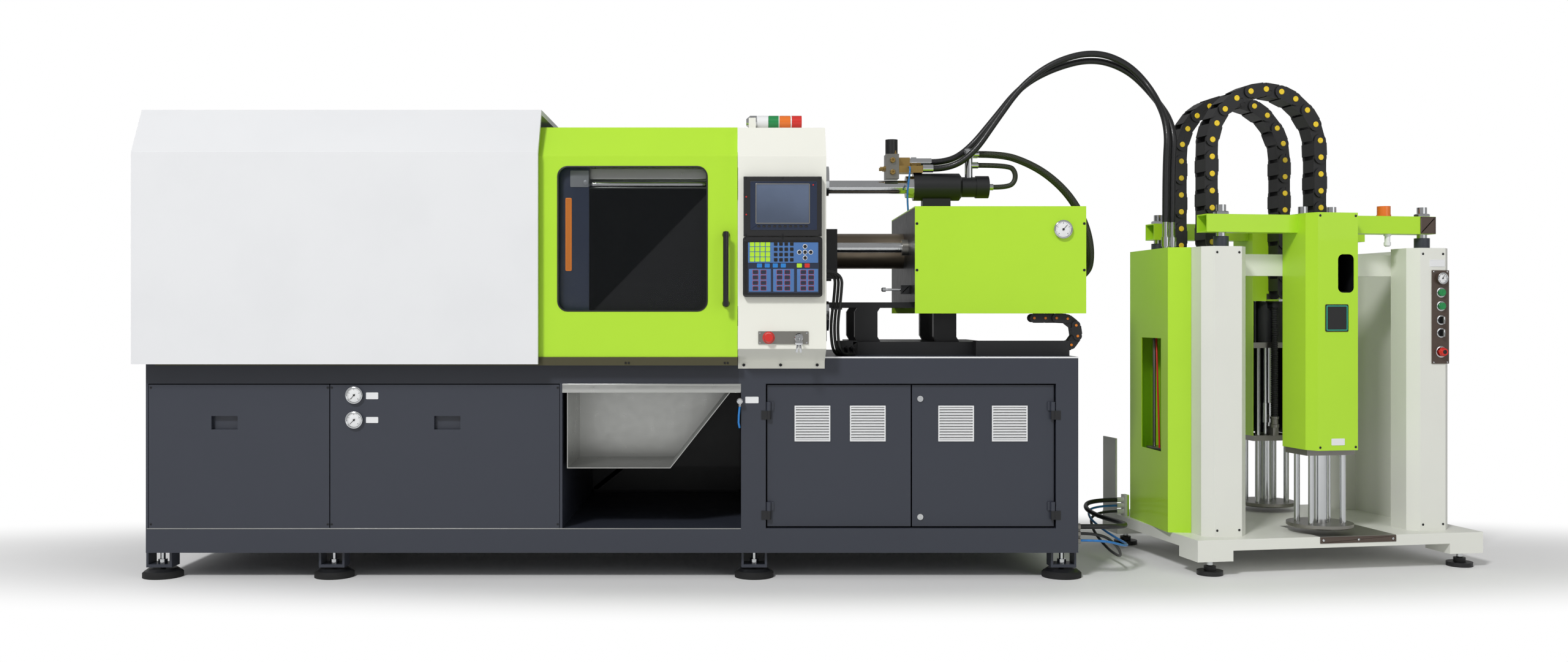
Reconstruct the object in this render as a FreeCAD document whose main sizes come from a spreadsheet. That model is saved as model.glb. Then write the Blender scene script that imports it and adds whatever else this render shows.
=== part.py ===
"""Liquid silicone injection moulding machine with its two-pump dosing unit.

Machine frame while drawing: X along the machine from the left end of the base, Y across it
(the operator stands on -Y), Z up from the floor. The dosing unit is drawn in a frame of its
own, from its front left foot, and then turned and set down beside the machine.
All sizes are in millimetres.
"""
import FreeCAD, Part
import math
import os
import re
import Sketcher
from FreeCAD import Placement, Rotation, Vector

SIZES = {
    # where the drawing frames stand in the finished part
    "machine_x": -2725.55,
    "machine_y": 32.0,
    "dosing_gap": 565.0,
    "dosing_y": -436.0,
    "dosing_turn": 10.0,
    "running_gap": 0.3,
    # base
    "base_length": 3730.0,
    "base_width": 1100.0,
    "base_bottom": 108.0,
    "base_top": 892.0,
    "sill_top": 206.0,
    "deck_bottom": 784.0,
    "end_wall": 10.0,
    "bay_left": 1666.0,
    "bay_right": 2381.0,
    "cabinet_left": 2480.0,
    "right_post": 89.0,
    "cabinet_depth": 420.0,
    "panel_sheet": 3.0,
    "panel_gap": 4.0,
    "panel_seam": 736.0,
    "grip_width": 105.0,
    "grip_height": 54.0,
    "grip_depth": 22.0,
    "left_grip_x": 365.0,
    "centre_grip_x": 1206.0,
    "grip_z": 628.0,
    # levelling feet of the machine
    "foot_left_x": 38.0,
    "foot_second_x": 733.0,
    "foot_third_x": 2434.0,
    "foot_right_inset": 50.0,
    "foot_inset": 75.0,
    "ear_width": 103.0,
    "ear_height": 65.0,
    "ear_depth": 80.0,
    "ear_sheet": 9.0,
    "foot_plate": 12.0,
    "foot_bolt_radius": 10.0,
    "foot_disc_radius": 70.0,
    "foot_disc": 10.0,
    "foot_pad_radius": 79.0,
    "foot_pad": 26.0,
    # gauges of the air supply
    "gauge_x": 836.0,
    "upper_gauge_z": 739.0,
    "lower_gauge_z": 640.0,
    "gauge_radius": 34.0,
    "gauge_rim": 14.0,
    "gauge_glass": 3.0,
    "gauge_depth": 40.0,
    # product chute
    "chute_left": 1684.0,
    "chute_right": 2362.0,
    "chute_top": 779.0,
    "chute_bottom": 445.0,
    "chute_foot_right": 2098.0,
    "chute_depth": 430.0,
    "chute_sheet": 3.0,
    "chute_lip": 27.0,
    # electrical cabinet doors
    "seam_shift": 3.5,
    "cabinet_door_sheet": 22.0,
    "cabinet_door_skin": 2.0,
    "cabinet_door_gap": 6.0,
    "cabinet_door_recess": 14.0,
    "hinge_radius": 10.0,
    "hinge_length": 70.0,
    "hinge_offset": 12.0,
    "upper_hinge_z": 676.0,
    "lower_hinge_z": 276.0,
    "vent_size": 145.0,
    "vent_z": 624.0,
    "vent_1_share": 0.3202,
    "vent_2_share": 0.7003,
    "vent_3_share": 0.3102,
    "vent_4_share": 0.6828,
    "vent_frame": 6.0,
    "slat_count": 12.0,
    "slat_sheet": 3.0,
    "slat_tilt": 35.0,
    "lock_inset": 35.0,
    "upper_lock_z": 723.0,
    "lower_lock_z": 250.0,
    "lock_radius": 12.0,
    "lock_rim": 5.0,
    # clamp guard over the closing unit
    "guard_right": 1581.0,
    "guard_front": 640.0,
    "guard_bottom": 865.0,
    "guard_fold": 1700.0,
    "guard_top": 1880.0,
    "guard_slope": 100.0,
    "guard_wall": 20.0,
    # sliding safety doors
    "door_left": 1517.0,
    "door_right": 2367.0,
    "door_front": 600.0,
    "door_wall": 22.0,
    "door_bottom": 892.3,
    "door_fold": 1688.0,
    "door_top": 1813.0,
    "door_slope": 85.0,
    "door_roof": 180.0,
    "window_left": 1655.0,
    "window_right": 2246.0,
    "window_bottom": 1075.0,
    "window_top": 1646.0,
    "window_corner": 38.0,
    "window_sheet": 8.0,
    "handle_x": 2321.0,
    "handle_bottom": 1094.0,
    "handle_top": 1386.0,
    "handle_reach": 48.0,
    "handle_radius": 11.0,
    "track_left": 60.0,
    "track_height": 33.0,
    # control column
    "column_left": 2369.0,
    "column_right": 2715.0,
    "column_front": 660.0,
    "column_back": 420.0,
    "column_fold": 1680.0,
    "column_top": 1803.0,
    "column_slope": 80.0,
    "column_chin": 926.0,
    "column_foot": 874.0,
    "column_flange": 845.0,
    "flange_sheet": 6.0,
    "screen_x": 2543.0,
    "screen_width": 305.0,
    "screen_bottom": 1367.0,
    "screen_top": 1598.0,
    "screen_depth": 30.0,
    "glass_width": 224.0,
    "glass_height": 156.0,
    "glass_drop": 32.0,
    "keypad_width": 310.0,
    "keypad_bottom": 1129.0,
    "keypad_top": 1364.0,
    "keypad_depth": 24.0,
    "keypad_corner": 12.0,
    "plate_left": 2448.0,
    "plate_right": 2645.0,
    "plate_bottom": 945.0,
    "plate_top": 995.0,
    "plate_sheet": 5.0,
    "switch_z": 970.0,
    "stop_x": 2489.0,
    "stop_radius": 20.0,
    "stop_neck": 12.0,
    "stop_reach": 24.0,
    "stop_cap": 14.0,
    "key_x": 2607.0,
    "key_barrel": 11.0,
    "key_reach": 12.0,
    # signal tower lying on its folding foot
    "tower_x": 2426.0,
    "tower_y": 500.0,
    "tower_z": 1835.0,
    "tower_radius": 27.0,
    "tower_back": 24.0,
    "tower_length": 199.0,
    "tower_groove": 1.5,
    "tower_pin": 5.0,
    "tower_ear": 8.0,
    # closing unit
    "mould_axis": 1338.0,
    "bar_y": 250.0,
    "bar_z": 284.0,
    "bar_radius": 42.0,
    "bar_start": 40.0,
    "bar_nut_radius": 62.0,
    "bar_nut": 50.0,
    "platen_half": 350.0,
    "platen_rise": 380.0,
    "tail_left": 90.0,
    "tail_right": 290.0,
    "moving_left": 1560.0,
    "moving_right": 1750.0,
    "fixed_left": 2450.0,
    "fixed_right": 2700.0,
    "platen_feet": 240.0,
    "ram_radius": 140.0,
    "clamp_radius": 205.0,
    "clamp_end": 900.0,
    "ram_start": 420.0,
    "nozzle_hole": 92.0,
    "locating_hole": 62.5,
    "sprue_depth": 36.0,
    # injection carriage
    "carriage_left": 3092.0,
    "carriage_right": 3792.0,
    "carriage_half": 430.0,
    "cover_bottom": 1065.0,
    "cover_top": 1503.0,
    "cover_sheet": 5.0,
    "carriage_plate": 38.0,
    "rail_y": 220.0,
    "rail_half": 22.0,
    "rail_bottom": 1090.0,
    "rail_top": 1112.0,
    "rail_left": 2754.0,
    "rail_right": 3660.0,
    "saddle_top": 1160.0,
    "block_half": 135.0,
    "block_right": 3440.0,
    "plinth_top": 946.0,
    "plinth_left": 2850.0,
    "plinth_right": 3420.0,
    "plinth_half": 300.0,
    "pedestal_1_x": 2922.0,
    "pedestal_2_x": 3255.0,
    "pedestal_half": 48.0,
    "pedestal_waist": 12.0,
    "barrel_z": 1338.0,
    "barrel_radius": 77.0,
    "barrel_left": 2760.0,
    "nozzle_left": 2706.0,
    "nozzle_radius": 24.0,
    "screw_radius": 28.0,
    "screw_gap": 0.5,
    "screw_left": 2790.0,
    "screw_right": 3260.0,
    "guide_y": 190.0,
    "guide_z": 1345.0,
    "guide_radius": 21.0,
    "guide_right": 3190.0,
    "guide_collar": 34.0,
    "collar_length": 27.0,
    "anchor_length": 90.0,
    "anchor_half": 24.0,
    "anchor_up": 78.0,
    "anchor_down": 133.0,
    "pull_rod_radius": 29.0,
    "pull_rod_z": 1620.0,
    "pull_rod_right": 3180.0,
    "cylinder_left": 3137.0,
    "cylinder_right": 3339.0,
    "cylinder_radius": 60.0,
    "cylinder_neck": 3412.0,
    "neck_radius": 44.0,
    "cylinder_end": 3468.0,
    "cap_radius": 49.0,
    "ring_left": 3105.0,
    "ring_radius": 48.0,
    "mixer_left": 3015.0,
    "mixer_right": 3072.0,
    "mixer_bottom": 1654.0,
    "mixer_top": 1762.0,
    "mixer_half": 42.0,
    "mixer_knob": 27.0,
    "knob_top": 1828.0,
    "valve_x": 3383.0,
    "valve_radius": 17.0,
    "valve_top": 1788.0,
    "hose_z": 1699.0,
    "hose_y": 28.0,
    "hose_left": 3222.0,
    "hose_rise": 34.0,
    "hose_spread": 18.0,
    "return_z": 1764.0,
    "return_left": 3424.0,
    "return_end_z": 1215.0,
    "loop_z": 1716.0,
    "hose_radius": 14.0,
    "return_radius": 13.0,
    "loop_radius": 11.0,
    "cover_gauge_x": 3696.0,
    "cover_gauge_z": 1408.0,
    "cover_gauge_radius": 38.0,
    # cable chains
    "link_pitch": 45.0,
    "link_height": 40.0,
    "link_width": 62.0,
    "link_wall": 7.0,
    "link_lid": 2.5,
    "chain_turn": 60.0,
    "chain_y": 370.0,
    "chain_start": 3420.0,
    "chain_bend_x": 3706.0,
    "chain_low_z": 926.0,
    "trough_left": 3345.0,
    "trough_right": 3729.0,
    "trough_top": 952.0,
    "trough_sheet": 3.0,
    "lift_pitch": 74.0,
    "lift_link_height": 60.0,
    "lift_link_width": 94.0,
    "lift_turn": 253.0,
    "lift_centre_z": 1770.0,
    "chain_a_u": 121.0,
    "chain_a_v": 200.0,
    "chain_b_u": 149.0,
    "chain_b_v": 520.0,
    "chain_arm": 19.0,
    "chain_b_drop": 1130.0,
    # dosing unit
    "stand_left": 85.0,
    "stand_right": 1205.0,
    "stand_front": 60.0,
    "stand_back": 825.0,
    "stand_top": 150.0,
    "stand_plate": 45.0,
    "corner_bottom": 62.0,
    "corner_size": 155.0,
    "stand_foot_u": 1140.0,
    "stand_foot_v": 765.0,
    "stand_pad_radius": 52.0,
    "stand_pad": 18.0,
    "stand_bolt_radius": 12.0,
    "drum_plate_left": 455.0,
    "drum_plate_right": 800.0,
    "drum_plate_back": 240.0,
    "drum_plate": 6.0,
    "hood_sheet": 4.0,
    "post_top": 1341.0,
    "left_post_u": -12.0,
    "left_post_width": 198.0,
    "right_post_u": 925.0,
    "right_post_width": 195.0,
    "post_front": 10.0,
    "post_back": 150.0,
    "post_facet": 38.0,
    "rear_post_front": 630.0,
    "rear_post_back": 770.0,
    "rear_post_width": 130.0,
    "cross_back": 196.0,
    "cross_bottom": 1224.0,
    "cross_top": 1315.0,
    "wall_left": 1084.0,
    "supply_left": -103.0,
    "supply_right": 44.0,
    "supply_front": 111.0,
    "supply_corner": 157.0,
    "supply_back": 594.0,
    "supply_back_left": -60.0,
    "supply_top": 1341.0,
    "supply_window_front": 232.0,
    "supply_window_back": 455.0,
    "supply_window_bottom": 480.0,
    "supply_window_top": 960.0,
    "rod_radius": 20.0,
    "rod_bottom": 320.0,
    "rod_stub": 41.0,
    "rod_collar": 31.0,
    "rod_collar_height": 44.0,
    "rod_a_left": 94.0,
    "rod_a_right": 1022.0,
    "rod_a_v": 80.0,
    "rod_b_left": 130.0,
    "rod_b_right": 1090.0,
    "rod_b_v": 700.0,
    "beam_bottom": 1401.0,
    "beam_top": 1475.0,
    "beam_half": 42.0,
    "beam_wall": 5.0,
    "beam_a_left": 8.0,
    "beam_a_right": 1057.0,
    "beam_b_left": 88.0,
    "beam_b_right": 1150.0,
    "pump_a_u": 532.0,
    "pump_a_v": 62.0,
    "pump_b_u": 672.0,
    "pump_b_v": 706.0,
    "hood_half": 117.0,
    "hood_front": 128.0,
    "hood_back": 86.0,
    "hood_facet_u": 27.0,
    "hood_facet_v": 46.0,
    "hood_bottom": 503.0,
    "hood_top": 1479.0,
    "hood_apron": 1122.0,
    "slot_u": 36.0,
    "slot_half": 36.0,
    "slot_bottom": 1150.0,
    "slot_top": 1308.0,
    "slot_corner": 22.0,
    "motor_radius": 84.0,
    "motor_top": 1120.0,
    "pump_plate_half_u": 108.0,
    "pump_plate_half_v": 78.0,
    "pump_plate": 25.0,
    "pump_plate_z": 906.0,
    "middle_plate_z": 478.0,
    "pump_rod_radius": 12.0,
    "pump_rod_u": 72.0,
    "pump_rod_v": 52.0,
    "pump_tube_radius": 34.0,
    "pump_collar_radius": 46.0,
    "pump_collar_bottom": 560.0,
    "pump_collar_top": 650.0,
    "follower_radius": 132.0,
    "follower_bottom": 174.0,
    "follower_rim": 18.0,
    "beacon_u": 842.0,
    "beacon_radius": 27.0,
    "beacon_height": 44.0,
    "strip_left": 1016.0,
    "strip_right": 1096.0,
    "strip_bottom": 853.0,
    "strip_top": 1247.0,
    "strip_sheet": 4.0,
    "strip_u": 1057.0,
    "strip_gauge_z": 1213.0,
    "strip_gauge_radius": 25.0,
    "button_1_z": 1153.0,
    "button_2_z": 1096.0,
    "selector_1_z": 1037.0,
    "selector_2_z": 983.0,
    "strip_stop_z": 903.0,
    "button_radius": 15.0,
    "button_reach": 13.0,
    "button_neck": 9.0,
    "selector_reach": 20.0,
    "coupling_u": -58.0,
    "coupling_v": 236.0,
    "coupling_spread": 18.0,
    "coupling_radius": 13.0,
    "coupling_top": 1452.0,
    "coupling_nut_radius": 18.0,
    "coupling_nut_top": 1388.0,
    # cables and tubes along the floor
    "gland_y": 505.0,
    "power_z": 206.0,
    "air_z": 150.0,
    "signal_z": 178.0,
    "gland_length": 18.0,
    "gland_radius": 14.0,
    "power_radius": 10.0,
    "air_radius": 5.0,
    "signal_radius": 6.0,
    "entry_u": -104.0,
    "entry_v": 640.0,
    "entry_z": 170.0,
}

document = FreeCAD.newDocument("injection_moulding_machine")
sheet = document.addObject("Spreadsheet::Sheet", "sizes")
for row, (alias, number) in enumerate(SIZES.items(), start=1):
    sheet.set("A%d" % row, alias)
    sheet.set("B%d" % row, "%.6g" % number)
    sheet.setAlias("B%d" % row, alias)
document.recompute()

NODES = {}
TURNS = {"x": Rotation(Vector(0, 1, 0), 90), "y": Rotation(Vector(1, 0, 0), -90), "z": Rotation()}
PLANES = {"xy": ("XY_Plane", 1), "yz": ("YZ_Plane", 1), "xz": ("XZ_Plane", -1)}


def size(alias):
    """Read one size from the sheet."""
    return float(sheet.get(alias))


def bound(formula):
    """Write a formula of size names as one that reads the sheet."""
    return re.sub(r"[a-z][a-z_0-9]*", lambda word: link(word.group(0)), str(formula))


def link(word):
    return "sizes." + word if word in SIZES else word


def block(x, y, z, name="block"):
    """Rectangular block between two planes on each axis."""
    solid = document.addObject("Part::Box", name)
    for side, axis, (low, high) in (("Length", "x", x), ("Width", "y", y), ("Height", "z", z)):
        solid.setExpression(side, bound("(%s) - (%s)" % (high, low)))
        solid.setExpression("Placement.Base." + axis, bound(low))
    return solid


def around(centre, half):
    """The two planes at one distance on each side of a centre."""
    return ("(%s) - (%s)" % (centre, half), "(%s) + (%s)" % (centre, half))


def rod(axis, start, end, across, radius, name="rod"):
    """Round bar along an axis; across gives its centre on the two other axes in order."""
    solid = document.addObject("Part::Cylinder", name)
    solid.Placement = Placement(Vector(), TURNS[axis])
    solid.setExpression("Radius", bound(radius))
    solid.setExpression("Height", bound("(%s) - (%s)" % (end, start)))
    others = [letter for letter in "xyz" if letter != axis]
    centres = dict(zip(others, across))
    centres[axis] = start
    for letter, formula in centres.items():
        solid.setExpression("Placement.Base." + letter, bound(formula))
    return solid


def taper(axis, start, end, across, first, last, name="taper"):
    """Cone along an axis from one radius to another."""
    solid = document.addObject("Part::Cone", name)
    solid.Placement = Placement(Vector(), TURNS[axis])
    solid.setExpression("Radius1", bound(first))
    solid.setExpression("Radius2", bound(last))
    solid.setExpression("Height", bound("(%s) - (%s)" % (end, start)))
    others = [letter for letter in "xyz" if letter != axis]
    centres = dict(zip(others, across))
    centres[axis] = start
    for letter, formula in centres.items():
        solid.setExpression("Placement.Base." + letter, bound(formula))
    return solid


def fuse(parts, name="joined"):
    if len(parts) == 1:
        return parts[0]
    joined = document.addObject("Part::MultiFuse", name)
    joined.Shapes = parts
    return joined


def cut(base, tools, name="cut"):
    result = document.addObject("Part::Cut", name)
    result.Base = base
    result.Tool = fuse(tools, name + "_tools")
    return result


def group(parts, name="group"):
    """Separate solids that make one node."""
    result = document.addObject("Part::Compound", name)
    result.Links = parts
    return result


def sketch_lines(sketch, points):
    """Close a polygon whose corners follow the sheet."""
    first = sketch.GeometryCount
    count = len(points)
    for index in range(count):
        here = Vector(10.0 * index, 3.0 * (index % 2), 0)
        there = Vector(10.0 * index + 8.0, 5.0, 0)
        sketch.addGeometry(Part.LineSegment(here, there), False)
    for index in range(count):
        following = first + (index + 1) % count
        sketch.addConstraint(Sketcher.Constraint("Coincident", first + index, 2, following, 1))
    for index, corner in enumerate(points):
        for kind, formula in zip(("DistanceX", "DistanceY"), corner):
            rule = Sketcher.Constraint(kind, -1, 1, first + index, 1, 1.0)
            number = sketch.addConstraint(rule)
            sketch.setExpression("Constraints[%d]" % number, bound(formula))


def profile(plane, outlines, start, end, name="profile"):
    """Pad a polygon, with any inner outlines as holes, between two planes."""
    role, sense = PLANES[plane]
    body = document.addObject("PartDesign::Body", name)
    sketch = body.newObject("Sketcher::SketchObject", name + "_outline")
    origin_plane = [part for part in body.Origin.OriginFeatures if part.Role == role][0]
    sketch.AttachmentSupport = (origin_plane, [""])
    sketch.MapMode = "FlatFace"
    seat = start if sense > 0 else "-(%s)" % end
    sketch.setExpression("AttachmentOffset.Base.z", bound(seat))
    for outline in outlines:
        sketch_lines(sketch, outline)
    pad = body.newObject("PartDesign::Pad", name + "_pad")
    pad.Profile = sketch
    pad.setExpression("Length", bound("(%s) - (%s)" % (end, start)))
    return body


def rounded(body, axis, radius):
    """Round the edges of a body that run along one axis."""
    document.recompute()
    direction = {"x": Vector(1, 0, 0), "y": Vector(0, 1, 0), "z": Vector(0, 0, 1)}[axis]
    sharp = body.Tip
    edges = []
    for index, edge in enumerate(sharp.Shape.Edges, start=1):
        run = edge.Vertexes[-1].Point - edge.Vertexes[0].Point
        if run.Length > 0 and run.normalize().cross(direction).Length < 0.01:
            edges.append("Edge%d" % index)
    fillet = body.newObject("PartDesign::Fillet", body.Name + "_corners")
    fillet.Base = (sharp, edges)
    fillet.setExpression("Radius", bound(radius))
    return body


def rounded_plate(plane, first, second, start, end, radius, name="plate"):
    """Plate with rounded corners between two planes."""
    (left, right), (low, high) = first, second
    corners = ((left, low), (right, low), (right, high), (left, high))
    axis = {"xy": "z", "yz": "x", "xz": "y"}[plane]
    return rounded(profile(plane, (corners,), start, end, name), axis, radius)


def turned(outline, centre, name="turned"):
    """Turn a half outline of (radius, height) about a vertical axis."""
    body = document.addObject("PartDesign::Body", name)
    sketch = body.newObject("Sketcher::SketchObject", name + "_outline")
    origin_plane = [part for part in body.Origin.OriginFeatures if part.Role == "XZ_Plane"][0]
    sketch.AttachmentSupport = (origin_plane, [""])
    sketch.MapMode = "FlatFace"
    sketch_lines(sketch, outline)
    turn = body.newObject("PartDesign::Revolution", name + "_turn")
    turn.Profile = sketch
    turn.ReferenceAxis = (sketch, ["V_Axis"])
    turn.Angle = 360
    for letter, formula in zip("xyz", centre):
        body.setExpression("Placement.Base." + letter, bound(formula))
    return body


def node(label, solid, station="machine"):
    """Name a finished piece and set it down in the part's frame."""
    if any("Placement" in path for path, formula in solid.ExpressionEngine):
        solid = group([solid], label + "_piece")
    if station == "dosing":
        solid.Placement = Placement(Vector(), Rotation(Vector(0, 0, 1), size("dosing_turn")))
        solid.setExpression("Placement.Base.x", "sizes.machine_x + sizes.base_length + sizes.dosing_gap")
        solid.setExpression("Placement.Base.y", "sizes.machine_y + sizes.dosing_y")
    else:
        solid.setExpression("Placement.Base.x", "sizes.machine_x")
        solid.setExpression("Placement.Base.y", "sizes.machine_y")
    solid.Label = label
    NODES[label] = solid
    return solid


def made(label, shape, station="machine"):
    """Finished piece whose shape comes from a formula."""
    feature = document.addObject("Part::Feature", label + "_form")
    feature.Shape = shape
    return node(label, group([feature], label + "_piece"), station)


# ---------------------------------------------------------------- base and its covers

FRONT = "-base_width / 2"
BACK = "base_width / 2"
THROUGH = ("-base_width", "base_width")
CABINET_RIGHT = "(base_length - right_post)"
DOOR_SEAM = "((cabinet_left + base_length - right_post) / 2 + seam_shift)"
LOCK_X = DOOR_SEAM + " + lock_inset"


def base_frame():
    """Welded base: deck, sill and posts round the panel bay, the product bay and the cabinet."""
    body = block(("0", "base_length"), (FRONT, BACK), ("base_bottom", "base_top"), "base")
    opening = ("sill_top", "deck_bottom")
    hollows = [
        block(("end_wall", "bay_left - end_wall"), THROUGH, opening, "panel_bay"),
        block(("bay_left", "bay_right"), THROUGH, opening, "product_bay"),
        block(("cabinet_left", CABINET_RIGHT), ("-base_width", FRONT + " + cabinet_depth"), opening,
              "cabinet_bay"),
        block(("cabinet_left", CABINET_RIGHT), (BACK + " - cabinet_depth", "base_width"), opening,
              "pump_bay"),
    ]
    tracks = [block(("track_left", "door_right"), (FRONT + " - 55", FRONT),
                    ("base_top - track_height", "base_top"), "front_track"),
              block(("track_left", "door_right"), (BACK, BACK + " + 55"),
                    ("base_top - track_height", "base_top"), "rear_track")]
    ears = []
    for foot_x in ("foot_left_x", "foot_second_x", "foot_third_x", "base_length - foot_right_inset"):
        for side in ("-1", "1"):
            centre = "%s * (base_width / 2 - foot_inset)" % side
            depth = around(centre, "ear_depth / 2")
            low = "base_bottom - ear_height"
            outer = around(foot_x, "ear_width / 2")
            ears.append(block((outer[0], outer[0] + " + ear_sheet"), depth, (low, "base_bottom"), "ear"))
            ears.append(block((outer[1] + " - ear_sheet", outer[1]), depth, (low, "base_bottom"), "ear"))
            shelf = block(outer, depth, (low, low + " + foot_plate"), "ear_shelf")
            bore = rod("z", low, low + " + foot_plate", (foot_x, centre), "foot_bolt_radius", "bolt_bore")
            ears.append(cut(shelf, [bore], "ear_shelf_bored"))
    fixed = tracks + ears + rear_sheets() + post_hinges() + cable_glands() + [chain_trough()]
    node("base_frame", fuse([cut(body, hollows, "base_open")] + fixed, "base_welded"))


def rear_sheets():
    """Closed sheets of the panel bay and the pump bay at the back."""
    face = (BACK + " - panel_sheet", BACK)
    height = ("sill_top", "deck_bottom")
    return [block(("end_wall", "bay_left - end_wall"), face, height, "rear_panel_sheet"),
            block(("cabinet_left", CABINET_RIGHT), face, height, "rear_pump_sheet")]


def cable_glands():
    """Glands of the three floor cables in the base's right end."""
    return [rod("x", "base_length", "base_length + gland_length", ("-gland_y", height), "gland_radius - 1",
                "base_gland") for height in ("power_z", "air_z", "signal_z")]


def chain_trough():
    """Trough in which the carriage's cable chain lies."""
    outer = block(("trough_left", "trough_right"), around("-chain_y", "link_width / 2 + 6"),
                  ("base_top", "trough_top"), "trough_outer")
    room = block(("trough_left + trough_sheet", "trough_right + 1"), around("-chain_y", "link_width / 2 + 3"),
                 ("chain_low_z - link_height / 2 - 0.3", "trough_top + 1"), "trough_room")
    return cut(outer, [room], "trough")


def levelling_feet():
    """Eight bolts with nuts and discs, and the rubber pads under them."""
    bolts, pads = [], []
    disc_top = "foot_pad + foot_disc"
    for foot_x in ("foot_left_x", "foot_second_x", "foot_third_x", "base_length - foot_right_inset"):
        for side in ("-1", "1"):
            centre = (foot_x, "%s * (base_width / 2 - foot_inset)" % side)
            stem = rod("z", disc_top, "base_bottom - 4", centre, "foot_bolt_radius", "foot_stem")
            disc = taper("z", "foot_pad", disc_top, centre, "foot_disc_radius", "foot_disc_radius * 0.8",
                         "foot_disc")
            nut = rod("z", "base_bottom - ear_height + foot_plate",
                      "base_bottom - ear_height + 2.4 * foot_plate", centre, "foot_bolt_radius * 1.8",
                      "foot_nut")
            bolts.append(fuse([stem, disc, nut], "foot_bolt"))
            pads.append(turned((("0", "0"), ("foot_pad_radius", "0"), ("foot_pad_radius", "foot_pad * 0.7"),
                                ("foot_disc_radius", "foot_pad"), ("0", "foot_pad")),
                               centre + ("0",), "foot_pad_form"))
    node("foot_bolts", group(bolts, "foot_bolt_set"))
    node("foot_pads", group(pads, "foot_pad_set"))


def front_panel(label, left, right, grip_x):
    """Lift-off sheet panel with a sunk grip pocket."""
    face = (FRONT, FRONT + " + panel_sheet")
    height = ("sill_top", "deck_bottom - panel_gap")
    skin = block((left, right), face, height, label + "_skin")
    across = around(grip_x, "grip_width / 2")
    up = around("grip_z", "grip_height / 2")
    hole = block(across, (FRONT + " - 5", FRONT + " + 5"), up, "grip_hole")
    cup = block((across[0] + " - panel_sheet", across[1] + " + panel_sheet"),
                (FRONT + " + panel_sheet", FRONT + " + panel_sheet + grip_depth"),
                (up[0] + " - panel_sheet", up[1] + " + panel_sheet"), "grip_cup")
    room = block(across, (FRONT, FRONT + " + grip_depth"), up, "grip_room")
    return fuse([cut(skin, [hole], label + "_open"), cut(cup, [room], "grip_pocket")], label + "_sheet")


def panels():
    edge = "panel_gap / 2"
    left = front_panel("left", "end_wall + " + edge, "panel_seam - " + edge, "left_grip_x - 50")
    centre = front_panel("centre", "panel_seam + " + edge, "bay_left - end_wall - " + edge,
                         "centre_grip_x")
    ports = [rod("y", FRONT + " - 5", FRONT + " + 5", ("gauge_x", height), "gauge_radius - 6", "gauge_port")
             for height in ("upper_gauge_z", "lower_gauge_z")]
    node("left_front_panel", left)
    node("centre_front_panel", cut(centre, ports, "centre_ported"))


def air_gauges():
    """Two dial gauges in the centre panel."""
    gauges = []
    for height in ("upper_gauge_z", "lower_gauge_z"):
        centre = ("gauge_x", height)
        front = FRONT + " - gauge_rim"
        rim = rod("y", front, FRONT, centre, "gauge_radius", "gauge_rim_form")
        bowl = rod("y", FRONT, FRONT + " + gauge_depth", centre, "gauge_radius - 6", "gauge_bowl")
        dial = rod("y", front, front + " + gauge_glass", centre, "gauge_radius - 5", "gauge_sink")
        gauges.append(cut(fuse([rim, bowl], "gauge_case"), [dial], "gauge"))
    node("air_gauges", group(gauges, "gauge_pair"))


def product_chute():
    """Folded sheet that catches the mouldings and leads them out at the front."""
    outer = (("chute_left", "chute_top"), ("chute_left", "chute_bottom"),
             ("chute_foot_right", "chute_bottom"), ("chute_right", "chute_top"))
    inner = (("chute_right - chute_sheet * 1.3", "chute_top"),
             ("chute_foot_right - chute_sheet * 0.5", "chute_bottom + chute_sheet"),
             ("chute_left + chute_sheet", "chute_bottom + chute_sheet"),
             ("chute_left + chute_sheet", "chute_top"))
    trough = profile("xz", (outer + inner,), FRONT + " + 8", FRONT + " + chute_depth", "chute_trough")
    lip = block(("bay_left", "bay_right"), (FRONT + " + 2", FRONT + " + 8"),
                ("chute_top - chute_lip", "chute_top"), "chute_lip_bar")
    brim = block(("bay_left", "bay_right"), (FRONT + " + 2", FRONT + " + chute_depth + chute_sheet"),
                 ("chute_top", "deck_bottom"), "chute_brim")
    well = block(("chute_left + chute_sheet", "chute_right - chute_sheet * 1.3"),
                 (FRONT, FRONT + " + chute_depth"), ("chute_top - 1", "base_top"), "well")
    back = profile("xz", (outer,), FRONT + " + chute_depth", FRONT + " + chute_depth + chute_sheet",
                   "chute_back")
    node("product_chute", fuse([trough, lip, back, cut(brim, [well], "chute_flange")], "chute_welded"))


def louvred(label, left, right, vents):
    """Cabinet door: a folded tray with two louvred vents."""
    front = FRONT + " + cabinet_door_recess"
    high = ("sill_top + cabinet_door_gap", "deck_bottom - cabinet_door_gap")
    tray = block((left, right), (front, front + " + cabinet_door_sheet"), high, label + "_tray")
    edge = "cabinet_door_skin"
    room = block((left + " + " + edge, right + " - " + edge), (front + " + " + edge, "0"),
                 (high[0] + " + " + edge, high[1] + " - " + edge), label + "_room")
    holes = [block(around(centre, "vent_size / 2 - vent_frame"), (front + " - 9", "0"),
                   around("vent_z", "vent_size / 2 - vent_frame"), "vent_hole") for centre in vents]
    parts = [cut(tray, [room] + holes, label + "_shell")]
    for centre in vents:
        frame = block(around(centre, "vent_size / 2"), (front + " - 3", front),
                      around("vent_z", "vent_size / 2"), "vent_frame_form")
        clear = block(around(centre, "vent_size / 2 - vent_frame"), (front + " - 9", front + " + 9"),
                      around("vent_z", "vent_size / 2 - vent_frame"), "vent_clear")
        parts.append(cut(frame, [clear], "vent_rim"))
        parts.extend(slats(centre, front))
    return parts


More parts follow.
